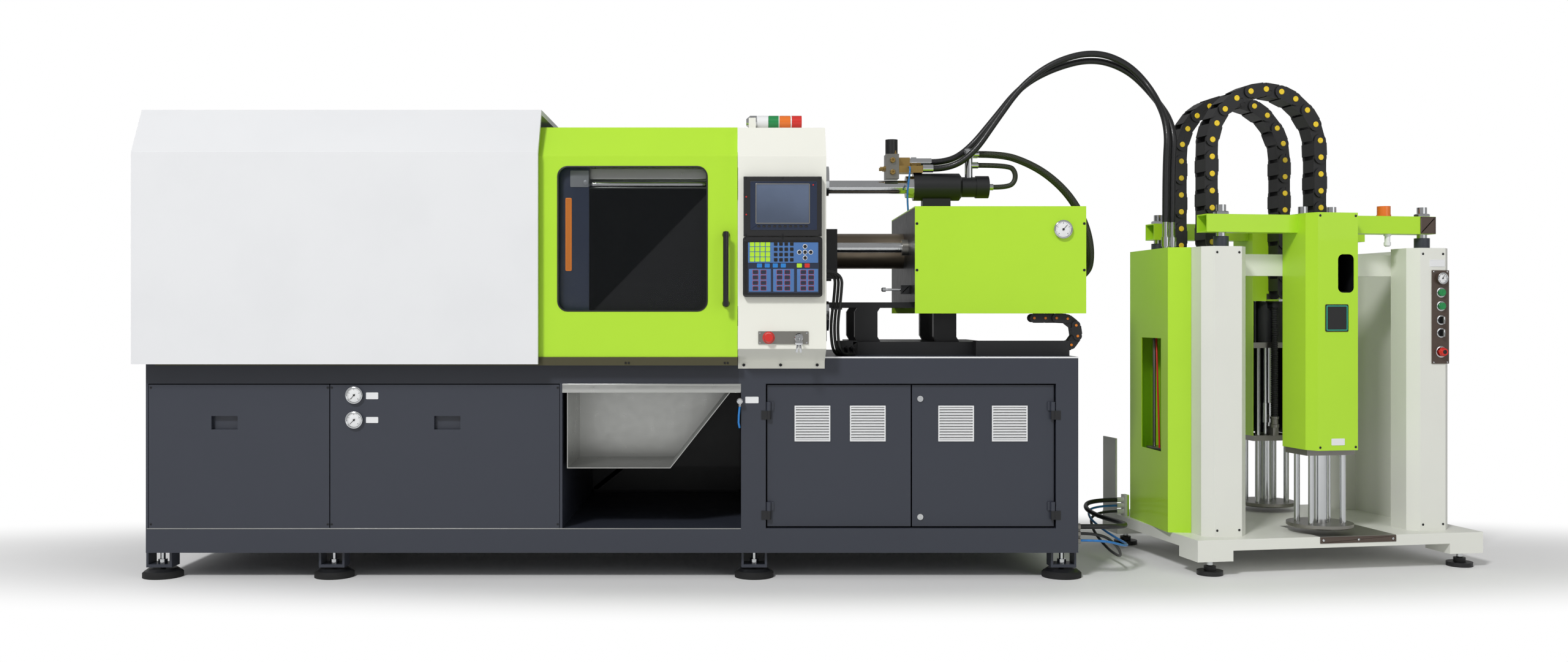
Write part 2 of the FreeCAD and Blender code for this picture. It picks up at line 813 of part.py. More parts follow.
def slats(centre, front):
    """Tilted slats, evenly spaced up one vent."""
    blades = []
    count = int(size("slat_count"))
    for index in range(count):
        blade = document.addObject("Part::Box", "slat")
        blade.setExpression("Length", bound("vent_size - 2 * vent_frame"))
        blade.setExpression("Width", bound("slat_sheet * 4"))
        blade.setExpression("Height", bound("slat_sheet"))
        blade.Placement = Placement(Vector(), Rotation(Vector(1, 0, 0), size("slat_tilt")))
        blade.setExpression("Placement.Base.x", bound(centre + " - vent_size / 2 + vent_frame"))
        blade.setExpression("Placement.Base.y", bound(front + " - 3"))
        step = "%d * (vent_size - 2 * vent_frame) / slat_count" % index
        blade.setExpression("Placement.Base.z", bound("vent_z - vent_size / 2 + vent_frame + 1 + " + step))
        blades.append(blade)
    return blades


HINGE_Y = FRONT + " + cabinet_door_recess - hinge_radius - running_gap"


def post_hinges():
    """Hinge halves on the cabinet's posts: a knuckle, its leaf and the pin that carries the door."""
    halves = []
    for axis_x, outward in (("cabinet_left + hinge_offset", "-1"), (CABINET_RIGHT + " - hinge_offset", "1")):
        leaf_end = "%s + %s * hinge_radius * 3" % (axis_x, outward)
        sides = (axis_x, leaf_end) if outward == "1" else (leaf_end, axis_x)
        for height in ("upper_hinge_z", "lower_hinge_z"):
            low, high = around(height, "hinge_length / 2")
            halves.append(rod("z", low, height, (axis_x, HINGE_Y), "hinge_radius", "lower_knuckle"))
            halves.append(block(sides, (HINGE_Y + " - hinge_radius * 0.7", FRONT), (low, height), "post_leaf"))
            halves.append(rod("z", height, high, (axis_x, HINGE_Y), "hinge_radius / 3", "hinge_pin"))
    return halves


def door_hinges(axis_x, outward):
    """Hinge halves on one door, over the pins."""
    axis_y = HINGE_Y
    hung = []
    for height in ("upper_hinge_z", "lower_hinge_z"):
        upper = (height + " + running_gap", around(height, "hinge_length / 2")[1])
        sleeve = rod("z", upper[0], upper[1], (axis_x, axis_y), "hinge_radius", "upper_knuckle")
        bore = rod("z", upper[0], upper[1], (axis_x, axis_y), "hinge_radius / 3 + running_gap", "pin_bore")
        inner_end = "%s - %s * hinge_radius * 2" % (axis_x, outward)
        sides = (axis_x, inner_end) if outward == "-1" else (inner_end, axis_x)
        wing = block(sides, (axis_y + " + hinge_radius * 0.4", axis_y + " + hinge_radius + running_gap"),
                     upper, "door_leaf")
        hung.append(cut(fuse([sleeve, wing], "door_hinge"), [bore], "door_knuckle"))
    return hung


def vent_place(left, right, share):
    """Middle of a vent on the door between two edges."""
    return "%s + %s * (%s - %s)" % (left, share, right, left)


def cabinet_doors():
    """Two doors hung on the cabinet's outer edges."""
    gap = "cabinet_door_gap"
    edges = {
        "left": ("cabinet_left + " + gap, DOOR_SEAM + " - %s / 2" % gap,
                 [vent_place("cabinet_left", DOOR_SEAM, share) for share in ("vent_1_share", "vent_2_share")],
                 "cabinet_left + hinge_offset", "-1"),
        "right": (DOOR_SEAM + " + %s / 2" % gap, CABINET_RIGHT + " - " + gap,
                  [vent_place(DOOR_SEAM, CABINET_RIGHT, share) for share in ("vent_3_share", "vent_4_share")],
                  CABINET_RIGHT + " - hinge_offset", "1"),
    }
    for side, (left, right, vents, axis_x, outward) in edges.items():
        hung = door_hinges(axis_x, outward)
        door = fuse(louvred(side, left, right, vents) + hung, side + "_door_joined")
        if side == "right":
            bores = [rod("y", FRONT, "0", (LOCK_X, height), "lock_radius / 2 + running_gap", "lock_bore")
                     for height in ("upper_lock_z", "lower_lock_z")]
            door = cut(door, bores, "right_door_bored")
        node(side + "_cabinet_door", door)


def cam_lock(label, height):
    """Quarter-turn lock: slotted head, shank through the door and a short cam behind."""
    face = FRONT + " + cabinet_door_recess"
    head = rod("y", face + " - lock_rim - running_gap", face + " - running_gap", (LOCK_X, height),
               "lock_radius", "lock_head")
    shank = rod("y", face + " - running_gap", face + " + 10", (LOCK_X, height), "lock_radius / 2",
                "lock_shank")
    cam = block(around(LOCK_X, "6"), (face + " + 7", face + " + 10"), (height + " - 27", height), "cam")
    slot = block(around(LOCK_X, "1.5"), (face + " - lock_rim - 1", face + " - lock_rim / 2"),
                 around(height, "lock_radius * 0.7"), "lock_slot")
    node(label, cut(fuse([head, shank, cam], "lock_joined"), [slot], "lock_slotted"))


# ---------------------------------------------------------------- guard, doors and column

def folded(front, slope, bottom, fold, top, inset, mirrored=False):
    """Half outline (y, z) of a cover from its front foot up over the fold to the top edge."""
    sign = "" if mirrored else "-"
    return (("%s(%s - %s)" % (sign, front, inset), bottom),
            ("%s(%s - %s)" % (sign, front, inset), "%s - %s / 3" % (fold, inset)),
            ("%s(%s - %s - %s / 3)" % (sign, front, slope, inset), "%s - %s" % (top, inset)))


def clamp_guard():
    """Folded cover over the closing unit, open towards the doors."""
    outer = folded("guard_front", "guard_slope", "guard_bottom", "guard_fold", "guard_top", "0")
    inner = folded("guard_front", "guard_slope", "guard_bottom", "guard_fold", "guard_top", "guard_wall")
    outer_back = folded("guard_front", "guard_slope", "guard_bottom", "guard_fold", "guard_top", "0", True)
    inner_back = folded("guard_front", "guard_slope", "guard_bottom", "guard_fold", "guard_top",
                        "guard_wall", True)
    arch = outer + outer_back[::-1] + inner_back + inner[::-1]
    shell = profile("yz", (arch,), "0", "guard_right", "guard_shell")
    end = profile("yz", (outer + outer_back[::-1],), "-guard_wall", "0", "guard_end")
    node("clamp_guard", fuse([shell, end], "guard_welded"))


def safety_door(side):
    """Sliding door with a roof lip, its window pane and its bow handle."""
    rear = side == "rear"
    sign = "" if rear else "-"
    outer = folded("door_front", "door_slope", "door_bottom", "door_fold", "door_top", "0", rear)
    inner = folded("door_front", "door_slope", "door_bottom", "door_fold", "door_top", "door_wall", rear)
    lip = "%s(door_front - door_slope - door_roof)" % sign
    outline = outer + ((lip, "door_top"), (lip, "door_top - door_wall")) + inner[::-1]
    skin = profile("yz", (outline,), "door_left", "door_right", side + "_door_skin")
    span = ("-door_front - 60", "-door_front + 60") if not rear else ("door_front - 60", "door_front + 60")
    window = rounded_plate("xz", ("window_left", "window_right"), ("window_bottom", "window_top"),
                           span[0], span[1], "window_corner", side + "_window_hole")
    face = "%sdoor_front" % sign
    way = "1" if rear else "-1"
    middle = "%s + %s * handle_reach" % (face, way)
    grip = rod("z", "handle_bottom", "handle_top", ("handle_x", middle), "handle_radius", "handle_grip")
    ends = []
    for height in ("handle_bottom + handle_radius * 1.5", "handle_top - handle_radius * 1.5"):
        start, end = (face, middle) if rear else (middle, face)
        ends.append(rod("y", start, end, ("handle_x", height), "handle_radius * 0.9", "handle_leg"))
    pane_face = "%s(door_front - door_wall)" % sign
    pane_span = (pane_face, "%s + window_sheet" % pane_face)
    if rear:
        pane_span = ("%s - window_sheet" % pane_face, pane_face)
    pane = rounded_plate("xz", ("window_left - 15", "window_right + 15"),
                         ("window_bottom - 15", "window_top + 15"), pane_span[0], pane_span[1],
                         "window_corner", side + "_pane")
    leaf = cut(skin, [window], side + "_door_open")
    if rear:
        leaf = fuse([leaf, grip] + ends, "rear_door_joined")
    else:
        node("front_door_handle", fuse([grip] + ends, "front_handle_bow"))
    node(side + "_door", leaf)
    node(side + "_window", pane)


def control_column():
    """Fixed column beside the doors, with the folding foot of the signal tower on its roof."""
    outline = (("-(base_width / 2 + flange_sheet)", "column_flange"),
               ("-(base_width / 2 + flange_sheet)", "column_foot"),
               ("-column_front", "column_chin"), ("-column_front", "column_fold"),
               ("-(column_front - column_slope)", "column_top"), ("-column_back", "column_top"),
               ("-column_back", "base_top"), (FRONT, "base_top"), (FRONT, "column_flange"))
    shell = profile("yz", (outline,), "column_left", "column_right", "column_shell")
    ears = []
    for side in ("-1", "1"):
        near = "-tower_y + %s * (tower_radius + 1)" % side
        far = "-tower_y + %s * (tower_radius + 1 + tower_ear)" % side
        span = (far, near) if side == "-1" else (near, far)
        ears.append(block(around("tower_x", "14"), span, ("column_top", "tower_z + 14"), "tower_ear_form"))
    pin = rod("y", "-tower_y - tower_radius - 1 - tower_ear", "-tower_y + tower_radius + 1 + tower_ear",
              ("tower_x", "tower_z"), "tower_pin", "tower_pin_form")
    plate = block(("plate_left", "plate_right"), ("-column_front - plate_sheet", "-column_front"),
                  ("plate_bottom", "plate_top"), "switch_plate")
    bores = []
    for centre, radius in (("stop_x", "stop_neck"), ("key_x", "key_barrel")):
        bores.append(rod("y", "-column_front - plate_sheet", "-column_front + 30", (centre, "switch_z"),
                         radius + " + running_gap", "switch_bore"))
    node("control_column", cut(fuse([shell, plate, pin] + ears, "column_joined"), bores, "column_bored"))


def control_panels():
    """Screen housing and keypad housing on the column's front."""
    front = "-column_front - screen_depth"
    case = block(around("screen_x", "screen_width / 2"), (front, "-column_front"),
                 ("screen_bottom", "screen_top"), "screen_case")
    glass = block(around("screen_x", "glass_width / 2"), (front, front + " + 4"),
                  ("screen_top - glass_drop - glass_height", "screen_top - glass_drop"), "screen_sink")
    node("screen_unit", cut(case, [glass], "screen_recessed"))
    keypad = rounded_plate("xz", around("screen_x", "keypad_width / 2"), ("keypad_bottom", "keypad_top"),
                           "-column_front - keypad_depth", "-column_front", "keypad_corner", "keypad_case")
    node("keypad_unit", keypad)


def switches():
    """Emergency stop button and key switch on the column's plate."""
    face = "-column_front - plate_sheet"
    neck = rod("y", face + " - stop_reach + stop_cap", "-column_front + 20", ("stop_x", "switch_z"),
               "stop_neck", "stop_neck_form")
    cap = taper("y", face + " - stop_reach", face + " - stop_reach + stop_cap", ("stop_x", "switch_z"),
                "stop_radius * 0.8", "stop_radius", "stop_cap_form")
    node("emergency_stop_button", fuse([neck, cap], "stop_joined"))
    barrel = rod("y", face + " - key_reach", "-column_front + 20", ("key_x", "switch_z"), "key_barrel",
                 "key_barrel_form")
    blade = block(around("key_x", "1.5"), (face + " - key_reach - 26", face + " - key_reach"),
                  around("switch_z", "4"), "key_blade")
    bow = rod("x", "key_x - 1.5", "key_x + 1.5", (face + " - key_reach - 34", "switch_z"), "12", "key_bow")
    eye = rod("x", "key_x - 3", "key_x + 3", (face + " - key_reach - 40", "switch_z"), "3", "key_eye")
    node("key_switch", fuse([barrel, blade, cut(bow, [eye], "key_head")], "key_joined"))


def signal_tower():
    """Four-part lamp column that folds down on its pin."""
    centre = ("-tower_y", "tower_z")
    shoulder = "tower_x - tower_back / 3"
    tube = rod("x", shoulder, "tower_x + tower_length", centre, "tower_radius", "tower_tube")
    end = taper("x", "tower_x - tower_back", shoulder, centre, "tower_radius / 2", "tower_radius",
                "tower_end")
    body = fuse([tube, end], "tower_body")
    grooves = []
    for step in range(1, 5):
        place = "tower_x + tower_length - %d * (tower_length + tower_back) / 5" % step
        outer = rod("x", place + " - tower_groove", place + " + tower_groove", centre, "tower_radius + 2",
                    "groove_outer")
        core = rod("x", place + " - tower_groove", place + " + tower_groove", centre,
                   "tower_radius - 2", "groove_core")
        grooves.append(cut(outer, [core], "groove"))
    bore = rod("y", "-tower_y - 60", "-tower_y + 60", ("tower_x", "tower_z"), "tower_pin + running_gap",
               "tower_bore")
    node("signal_tower", cut(body, grooves + [bore], "tower_form"))


# ---------------------------------------------------------------- closing unit

PLATEN_Y = around("0", "platen_half")
PLATEN_Z = around("mould_axis", "platen_rise")
BAR_CENTRES = [("%s * bar_y" % side, "mould_axis + %s * bar_z" % level)
               for side in ("-1", "1") for level in ("-1", "1")]


def bar_bores(start, end, radius):
    return [rod("x", start, end, centre, radius, "bar_bore") for centre in BAR_CENTRES]


def closing_unit():
    """Tail platen with the clamp cylinder, tie bars, moving platen on its ram, fixed platen with its rods."""
    axis = ("0", "mould_axis")
    tail = block(("tail_left", "tail_right"), PLATEN_Y, PLATEN_Z, "tail_block")
    tail_feet = block(("tail_left", "tail_right"), around("0", "platen_feet"),
                      ("base_top", "mould_axis - platen_rise"), "tail_feet")
    barrel = rod("x", "tail_right", "clamp_end", axis, "clamp_radius", "clamp_barrel")
    room = rod("x", "ram_start - 40", "clamp_end + 1", axis, "ram_radius + running_gap", "clamp_room")
    node("tail_platen", cut(fuse([tail, tail_feet, barrel], "tail_joined"),
                            [room] + bar_bores("tail_left - 1", "tail_right + 1", "bar_radius"),
                            "tail_bored"))
    bars = []
    for centre in BAR_CENTRES:
        bar = rod("x", "bar_start", "fixed_right + bar_nut", centre, "bar_radius", "bar")
        nut = rod("x", "tail_left - bar_nut", "tail_left", centre, "bar_nut_radius", "bar_nut_form")
        end_nut = rod("x", "fixed_right", "fixed_right + bar_nut", centre, "bar_nut_radius", "bar_end_nut")
        bars.append(fuse([bar, nut, end_nut], "tie_bar"))
    node("tie_bars", group(bars, "tie_bar_set"))
    moving = block(("moving_left", "moving_right"), PLATEN_Y, PLATEN_Z, "moving_block")
    ram = rod("x", "ram_start", "moving_left", axis, "ram_radius", "ram")
    node("moving_platen", cut(fuse([moving, ram], "moving_joined"),
                              bar_bores("moving_left - 1", "moving_right + 1", "bar_radius + running_gap"),
                              "moving_bored"))
    fixed = block(("fixed_left", "fixed_right"), PLATEN_Y, PLATEN_Z, "fixed_block")
    fixed_feet = block(("fixed_left", "fixed_right"), around("0", "platen_feet"),
                       ("base_top", "mould_axis - platen_rise"), "fixed_feet")
    anchors = []
    for side in ("-1", "1"):
        centre = side + " * guide_y"
        anchors.append(block(("fixed_right", "fixed_right + anchor_length"), around(centre, "anchor_half"),
                             ("guide_z - anchor_down", "guide_z + anchor_up"), "anchor"))
        anchors.append(rod("x", "fixed_right + anchor_length", "guide_right", (centre, "guide_z"),
                           "guide_radius", "guide_rod"))
    anchors.append(rod("x", "fixed_right", "pull_rod_right", ("0", "pull_rod_z"), "pull_rod_radius",
                       "pull_rod"))
    bores = [rod("x", "fixed_left + sprue_depth", "fixed_right + 1", axis, "nozzle_hole", "nozzle_bore"),
             rod("x", "fixed_left - 1", "fixed_left + sprue_depth", axis, "locating_hole", "locating_bore")]
    solid = cut(fuse([fixed, fixed_feet], "fixed_joined"),
                bores + bar_bores("fixed_left - 1", "fixed_right + 1", "bar_radius"), "fixed_bored")
    node("fixed_platen", fuse([solid] + anchors, "fixed_with_anchors"))


# ---------------------------------------------------------------- injection unit

def carriage_bed():
    """Plinth, waisted pedestals and two rails that carry the injection carriage."""
    plinth = block(("plinth_left", "plinth_right"), around("0", "plinth_half"), ("base_top", "plinth_top"),
                   "plinth")
    parts = [plinth]
    for side in ("-1", "1"):
        centre = side + " * rail_y"
        parts.append(block(("rail_left", "rail_right"), around(centre, "rail_half"),
                           ("rail_bottom", "rail_top"), "rail"))
        for middle in ("pedestal_1_x", "pedestal_2_x"):
            half, waist = "pedestal_half", "pedestal_half - pedestal_waist"
            outline = (("%s - %s" % (middle, half), "plinth_top"), ("%s + %s" % (middle, half), "plinth_top"),
                       ("%s + %s" % (middle, waist), "plinth_top + 20"),
                       ("%s + %s" % (middle, waist), "rail_bottom - 18"),
                       ("%s + %s" % (middle, half), "rail_bottom"),
                       ("%s - %s" % (middle, half), "rail_bottom"),
                       ("%s - %s" % (middle, waist), "rail_bottom - 18"),
                       ("%s - %s" % (middle, waist), "plinth_top + 20"))
            parts.append(profile("xz", (outline,), centre + " - rail_half", centre + " + rail_half",
                                 "pedestal"))
    node("carriage_bed", fuse(parts, "bed_joined"))


def injection_carriage():
    """Front plate, saddle and screw housing in one casting, with collars round the guide rods."""
    gap = "running_gap"
    chain_top = "chain_low_z + 2 * chain_turn + link_height / 2"
    plate_end = "carriage_left + carriage_plate"
    inner = "carriage_half - cover_sheet"
    plate = block(("carriage_left", plate_end), around("0", inner), ("rail_top + " + gap,
                  "cover_top - cover_sheet"), "carriage_front")
    saddle = block((plate_end, "carriage_right - 90"), around("0", "rail_y + rail_half + 60"),
                   ("rail_top + " + gap, "saddle_top"), "saddle")
    housing = block((plate_end, "block_right"), around("0", "block_half"),
                    ("saddle_top", "barrel_z + block_half"), "screw_housing")
    bores = [rod("x", "carriage_left - 1", plate_end, ("0", "barrel_z"), "barrel_radius", "barrel_seat"),
             rod("x", plate_end, "block_right - 40", ("0", "barrel_z"), "screw_radius + screw_gap",
                 "screw_room")]
    collars = []
    for side in ("-1", "1"):
        centre = ("%s * guide_y" % side, "guide_z")
        collars.append(rod("x", "carriage_left - collar_length", "carriage_left", centre, "guide_collar",
                           "guide_collar_form"))
        bores.append(rod("x", "carriage_left - collar_length - 1", plate_end + " + 1", centre,
                         "guide_radius + " + gap, "guide_bore"))
    shelf = block(("chain_bend_x - 190", "chain_bend_x - 60"), ("-chain_y - link_width / 2",
                  "-rail_y - rail_half - 59"), (chain_top, chain_top + " + 12"), "chain_shelf")
    stem = block(("chain_bend_x - 190", "chain_bend_x - 110"), ("-rail_y - rail_half - 60",
                 "-rail_y - rail_half - 30"), (chain_top, "rail_top + " + gap), "chain_stem")
    node("injection_carriage", cut(fuse([plate, saddle, housing, shelf, stem] + collars, "carriage_joined"),
                                   bores, "carriage_bored"))


def injection_cover():
    """Sheet cover over the carriage, with its pressure gauge and the glands of the return hoses."""
    outer = block(("carriage_left", "carriage_right"), around("0", "carriage_half"),
                  ("cover_bottom", "cover_top"), "cover_outer")
    room = block(("carriage_left - 1", "carriage_right - cover_sheet"),
                 around("0", "carriage_half - cover_sheet"), ("cover_bottom - 1", "cover_top - cover_sheet"),
                 "cover_room")
    port = rod("y", "-carriage_half - 1", "-carriage_half + cover_sheet + 1",
               ("cover_gauge_x", "cover_gauge_z"), "cover_gauge_radius - 6", "cover_port")
    glands = [rod("x", "carriage_right", "carriage_right + gland_length", ("%s * hose_spread" % side,
              "return_end_z"), "gland_radius + 3", "cover_gland") for side in ("-1", "1")]
    notches = [block(("carriage_right - cover_sheet - 1", "carriage_right + 1"),
                     around(side + " * rail_y", "rail_half + 4"), ("cover_bottom - 1", "rail_top + 4"),
                     "rail_notch") for side in ("-1", "1")]
    shell = cut(outer, [room, port] + notches, "cover_shell")
    node("injection_cover", fuse([shell] + glands, "cover_joined"))
    centre = ("cover_gauge_x", "cover_gauge_z")
    front = "-carriage_half - gauge_rim"
    rim = rod("y", front, "-carriage_half", centre, "cover_gauge_radius", "cover_gauge_rim")
    bowl = rod("y", "-carriage_half", "-carriage_half + gauge_depth", centre, "cover_gauge_radius - 6",
               "cover_gauge_bowl")
    sink = rod("y", front, front + " + gauge_glass", centre, "cover_gauge_radius - 5", "cover_gauge_sink")
    node("pressure_gauge", cut(fuse([rim, bowl], "cover_gauge_case"), [sink], "cover_gauge"))


def barrel_and_screw():
    """Barrel with its nozzle, and the screw inside."""
    axis = ("0", "barrel_z")
    tube = rod("x", "barrel_left", "carriage_left + carriage_plate", axis, "barrel_radius", "barrel_tube")
    nose = taper("x", "nozzle_left", "barrel_left", axis, "nozzle_radius", "nozzle_radius * 2.5", "nozzle")
    bore = rod("x", "screw_left - 14", "carriage_left + carriage_plate + 1", axis,
               "screw_radius + screw_gap", "barrel_bore")
    mouth = rod("x", "nozzle_left - 1", "screw_left", axis, "nozzle_radius / 6", "nozzle_mouth")
    node("barrel", cut(fuse([tube, nose], "barrel_joined"), [bore, mouth], "barrel_bored"))
    tip = taper("x", "screw_left", "screw_left + screw_radius * 1.5", axis, "screw_radius / 4",
                "screw_radius", "screw_tip")
    shank = rod("x", "screw_left + screw_radius * 1.5", "screw_right", axis, "screw_radius", "screw_shank")
    node("screw", fuse([tip, shank], "screw_joined"))


def carriage_cylinder():
    """Cylinder that draws the carriage along its rod, on a foot on the cover."""
    axis = ("0", "pull_rod_z")
    parts = [rod("x", "ring_left", "cylinder_left", axis, "ring_radius", "cylinder_ring"),
             rod("x", "cylinder_left", "cylinder_right", axis, "cylinder_radius", "cylinder_tube"),
             taper("x", "cylinder_right", "cylinder_right + 12", axis, "cylinder_radius", "neck_radius",
                   "cylinder_shoulder"),
             rod("x", "cylinder_right + 12", "cylinder_neck", axis, "neck_radius", "cylinder_neck_form"),
             rod("x", "cylinder_neck", "cylinder_end", axis, "cap_radius", "cylinder_cap"),
             block(("cylinder_left + 40", "cylinder_right - 40"), around("0", "cylinder_radius / 2"),
                   ("cover_top", "pull_rod_z - cylinder_radius * 0.8"), "cylinder_foot")]
    bore = rod("x", "ring_left - 1", "cylinder_end - 28", axis, "pull_rod_radius + running_gap",
               "cylinder_bore")
    node("carriage_cylinder", cut(fuse(parts, "cylinder_joined"), [bore], "cylinder_bored"))


def mixing_block():
    """Mixing block with its needle valve knob and brass arm, and the steel fittings for the hoses."""
    block_form = block(("mixer_left", "mixer_right"), around("0", "mixer_half"),
                       ("mixer_bottom", "mixer_top"), "mixer_block")
    arm = block(("mixer_right", "cylinder_left + 40"), around("0", "mixer_half - 4"),
                ("pull_rod_z + cylinder_radius + running_gap", "hose_z + 12"), "mixer_arm")
    rear_arm = block(("mixer_right", "cylinder_left - 12"), ("4", "mixer_half - 4"),
                     ("hose_z + 12", "hose_z + hose_rise + 18"), "mixer_rear_arm")
    knob = rod("z", "mixer_top", "knob_top", ("mixer_left / 2 + mixer_right / 2", "0"), "mixer_knob", "knob")
    node("mixing_block", fuse([block_form, arm, rear_arm, knob], "mixer_joined"))
    fittings = []
    for side, start, rise in (("-1", "cylinder_left + 40", "0"), ("1", "cylinder_left - 12", "hose_rise")):
        centre = (side + " * hose_y", "hose_z + " + rise)
        body = rod("x", start, "hose_left", centre, "hose_radius + 3", "fitting_body")
        nut = rod("x", start + " + 8", start + " + 30", centre, "hose_radius + 8 - running_gap",
                  "fitting_nut")
        fittings.append(body if side == "-1" else fuse([body, nut], "feed_fitting"))
    valve = rod("z", "pull_rod_z + neck_radius * 0.9", "valve_top", ("valve_x", "0"), "valve_radius",
                "valve_stem")
    outlets = []
    for side in ("-1", "1"):
        outlets.append(rod("x", "valve_x", "return_left", (side + " * hose_spread", "return_z"),
                           "return_radius + 2", "return_outlet"))
    yoke = block(("valve_x - 16", "valve_x + 16"), around("0", "hose_spread + return_radius + 2"),
                 around("return_z", "return_radius + 4"), "return_yoke")
    outlets.append(rod("x", "valve_x", "return_left", ("0", "loop_z"), "loop_radius + 3", "loop_outlet"))
    core = rod("x", "cylinder_right", "cylinder_end", ("0", "pull_rod_z"), "neck_radius + 0.1",
               "neck_core")
    stack = cut(fuse([valve, yoke] + outlets, "valve_joined"), [core], "valve_stack")
    tail = rod("x", "cylinder_end", "cylinder_end + 22", ("0", "pull_rod_z"), "loop_radius + 3", "tail_stub")
    node("hose_fittings", group(fittings + [stack, tail], "fitting_set"))


# ---------------------------------------------------------------- cable chains

def stadium(length, radius, thickness):
    """Flat bar with round ends from one pin to the next, along X, thickness along Y."""
    low, high = Vector(0, 0, -radius), Vector(0, 0, radius)
    far = Vector(length, 0, 0)
    edges = [Part.LineSegment(low, low + far).toShape(),
             Part.Arc(low + far, far + Vector(radius, 0, 0), high + far).toShape(),
             Part.LineSegment(high + far, high).toShape(),
             Part.Arc(high, Vector(-radius, 0, 0), low).toShape()]
    return Part.Face(Part.Wire(edges)).extrude(Vector(0, thickness, 0))


def chain_link(pitch, height, width, wall, lid, outer):
    """One link: two side plates, two lids and a pin head on each side."""
    inset = 0 if outer else wall + 0.4
    radius = height / 2 - lid
    near = stadium(pitch, radius, wall)
    near.translate(Vector(0, inset, 0))
    far = stadium(pitch, radius, wall)
    far.translate(Vector(0, width - inset - wall, 0))
    free = height * 0.16
    lids = [Part.makeBox(pitch - 2 * free, width - 2 * inset, lid, Vector(free, inset, level))
            for level in (radius, -radius - lid)]
    solid = near.fuse([far] + lids)
    if outer:
        heads = []
        for pin in (0, pitch):
            heads.append(Part.makeCylinder(height * 0.13, 1.5, Vector(pin, 0, 0), Vector(0, -1, 0)))
            heads.append(Part.makeCylinder(height * 0.13, 1.5, Vector(pin, width, 0), Vector(0, 1, 0)))
        solid = solid.fuse(heads)
    return solid


def chain_pins(first_leg, radius, second_leg, pitch):
    """Pin places along leg, half turn and leg, as (along, across) pairs, and the fitted pitch.

    The first leg runs along +along, then the chain turns over to across = 2 * radius.
    """
    arc = math.pi * radius
    total = first_leg + arc + second_leg
    count = round(total / pitch)
    pitch = total / count
    places = []
    for index in range(count + 1):
        reach = index * pitch
        if reach <= first_leg:
            places.append((reach, 0.0))
        elif reach <= first_leg + arc:
            angle = (reach - first_leg) / radius
            places.append((first_leg + radius * math.sin(angle), radius * (1 - math.cos(angle))))
        else:
            places.append((first_leg - (reach - first_leg - arc), 2 * radius))
    return places, pitch


def chain_shape(points, pitch, height, width, wall, lid):
    """Links laid from pin to pin; each point is (x, z) in the chain's own plane."""
    kinds = [chain_link(pitch, height, width, wall, lid, outer) for outer in (True, False)]
    links = []
    for index, (here, there) in enumerate(zip(points, points[1:])):
        lean = math.degrees(math.atan2(there[1] - here[1], there[0] - here[0]))
        link_solid = kinds[index % 2].copy()
        link_solid.Placement = Placement(Vector(here[0], 0, here[1]), Rotation(Vector(0, -1, 0), lean))
        links.append(link_solid)
    return Part.makeCompound(links)


def carriage_chain():
    """Cable chain of the carriage, from its trough up to the shelf."""
    radius = size("chain_turn")
    legs = size("chain_bend_x") - size("chain_start")
    pins, pitch = chain_pins(legs, radius, legs * 0.42, size("link_pitch"))
    points = [(size("chain_start") + along, size("chain_low_z") + across) for along, across in pins]
    shape = chain_shape(points, pitch, size("link_height"), size("link_width"), size("link_wall"),
                        size("link_lid"))
    shape.translate(Vector(0, -size("chain_y") - size("link_width") / 2, 0))
    made("carriage_chain", shape)


def lift_chain(label, start_u, front_v, end_z):
    """Cable chain from the shelf over to one lift."""
    radius = size("lift_turn")
    end = size("lift_link_height") / 2 - size("link_lid")
    rise = size("lift_centre_z") - size("post_top") - end
    second = size("lift_centre_z") - end_z - end
    pins, pitch = chain_pins(rise, radius, second, size("lift_pitch"))
    base_z = size("post_top") + end
    points = [(size(start_u) + across, base_z + along) for along, across in pins]
    shape = chain_shape(points, pitch, size("lift_link_height"), size("lift_link_width"),
                        size("link_wall"), size("link_lid"))
    shape.translate(Vector(0, size(front_v), 0))
    made(label, shape, "dosing")


# ---------------------------------------------------------------- dosing unit: stand and frame

def stand():
    """Stand of the dosing unit with its corner blocks, feet and drum plate."""
    plate = block(("-stand_left", "stand_right"), ("-stand_front", "stand_back"),
                  ("stand_top - stand_plate", "stand_top"), "stand_plate_form")
    corners = []
    bolts = []
    for foot_u in ("0", "stand_foot_u"):
        for foot_v in ("0", "stand_foot_v"):
            left = "-stand_left" if foot_u == "0" else "stand_right - corner_size"
            front = "-stand_front" if foot_v == "0" else "stand_back - corner_size"
            corners.append(block((left, left + " + corner_size"), (front, front + " + corner_size"),
                                 ("corner_bottom", "stand_top - stand_plate"), "stand_corner"))
            stem = rod("z", "stand_pad", "corner_bottom", (foot_u, foot_v), "stand_bolt_radius",
                       "stand_stem")
            pad = rod("z", "0", "stand_pad", (foot_u, foot_v), "stand_pad_radius", "stand_pad_form")
            nut = rod("z", "stand_pad", "stand_pad * 2", (foot_u, foot_v), "stand_bolt_radius * 2",
                      "stand_nut")
            bolts.append(fuse([stem, pad, nut], "stand_foot"))
    slot = block(("drum_plate_left", "drum_plate_right"), ("-stand_front - 1", "drum_plate_back"),
                 ("stand_top - drum_plate", "stand_top + 1"), "drum_slot")
    bracket = block(("-stand_left", "-stand_left + 8"), ("stand_foot_v - 75", "stand_foot_v + 55"),
                    ("stand_top", "stand_top + 345"), "stand_bracket")
    drum_plate = block(("drum_plate_left", "drum_plate_right"), ("-stand_front", "drum_plate_back"),
                       ("stand_top - drum_plate", "stand_top"), "drum_plate_form")
    slotted = cut(fuse([plate, bracket] + corners, "stand_joined"), [slot], "stand_slotted")
    node("dosing_stand", group([slotted, drum_plate], "stand_with_drum_plate"), "dosing")
    node("dosing_feet", group(bolts, "stand_feet"), "dosing")


